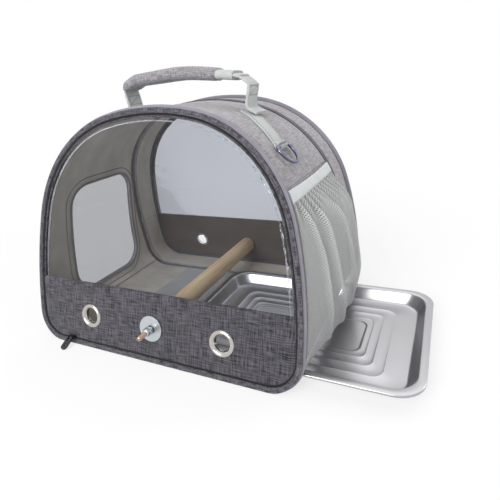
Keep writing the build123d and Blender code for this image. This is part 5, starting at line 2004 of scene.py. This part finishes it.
def finish_kept_nodes() -> None:
    """Give each CAD piece that stays in view its real finish."""
    for name, finish in KEPT_NODES.items():
        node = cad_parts[name]
        node.data.materials.clear()
        node.data.materials.append(finish.material())
        log.info("%s keeps its CAD shape", name)


def build_front() -> None:
    """Build the front face: binding, zips, band, eyelets, border and clear sheet."""
    band_top = 84.0
    door = ARCH.share_at(band_top + 0.6, 9.0)
    EdgeBinding(Face.FRONT, "front_edge_binding", "root", "front_binding", lip=5.4).build()
    outer = ((5.4, -3.8), (5.4, -0.9), (6.4, -0.9), (6.4, -3.8))
    inner = ((6.6, -3.8), (6.6, -0.9), (7.6, -0.9), (7.6, -3.8))
    for name, body, node, start, end, tape, coil in (
        ("front_zip_outer", "root", "front_zip", 0.0, 1.0, outer, 6.1),
        ("front_zip_lower", "root", "front_band_zip", 1 - door, 1 + door, inner, 6.8),
        ("front_zip_door", "front_door", "front_door_zip", door, 1 - door, inner, 6.8),
    ):
        ZipRun(Face.FRONT, name, body, (node,), start, end, tape, (coil, -0.5)).build()
    face, body, low = Face.FRONT, "front_door", band_top + 0.6
    BandPanel(face, "front_foot_band", "front_band", band_top, 7.5, DARK_CLOTH, TAUPE, "heather_dark").build()
    Eyelets(face, "front_eyelet_pair", "front_eyelets").build()
    ClothBorder(face, "front_border", body, "front_door_border", low, 7.5, 9.9).build()
    ClearPanel(face, "front_clear_panel", body, "front_window", low, 8.4, -3.5, CLEAR, 0.6, 12.6).build()


def build_rear_zip() -> None:
    """Build the zip on the gusset that frees the rear cover."""
    foot = ARCH.share_at(90.0, 0.0)
    cover = ARCH.share_at(90.6, 0.0)
    fixed = ((0.5, -57.0), (0.2, -53.2), (2.4, -53.2), (2.4, -57.0))
    moving = ((0.5, -52.4), (0.5, -49.1), (2.4, -49.1), (2.4, -52.4))
    for name, body, node, start, end, tape, coil in (
        ("rear_zip_fixed", "root", "rear_zip_front", 0.0, 1.0, fixed, -53.4),
        ("rear_zip_under", "root", "rear_zip_lower", 1 - foot, 1 + foot, moving, -52.2),
        ("rear_zip_moving", "rear_cover", "rear_cover_zip", cover, 1 - cover, moving, -52.2),
    ):
        ZipRun(Face.REAR, name, body, (node,), start, end, tape, (0.3, coil), 0.7, cloth=GREY_TAPE).build()


def main() -> None:
    """Build every piece in order, then the studio."""
    logging.basicConfig(level=logging.INFO, format="%(name)s: %(message)s")
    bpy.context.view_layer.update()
    build_front()
    build_rear_zip()
    Walls().build()
    InnerSeams().build()
    SideZip().build()
    SideFlap().build()
    RearSection().build()
    Perch().build()
    Tray().build()
    Handle().build()
    ShoulderStrap(Side.RIGHT, "right_strap", 84.0).build()
    ShoulderStrap(Side.LEFT, "left_strap", 72.0).build()
    finish_kept_nodes()
    Studio().build()


if __name__ == "__main__":
    main()
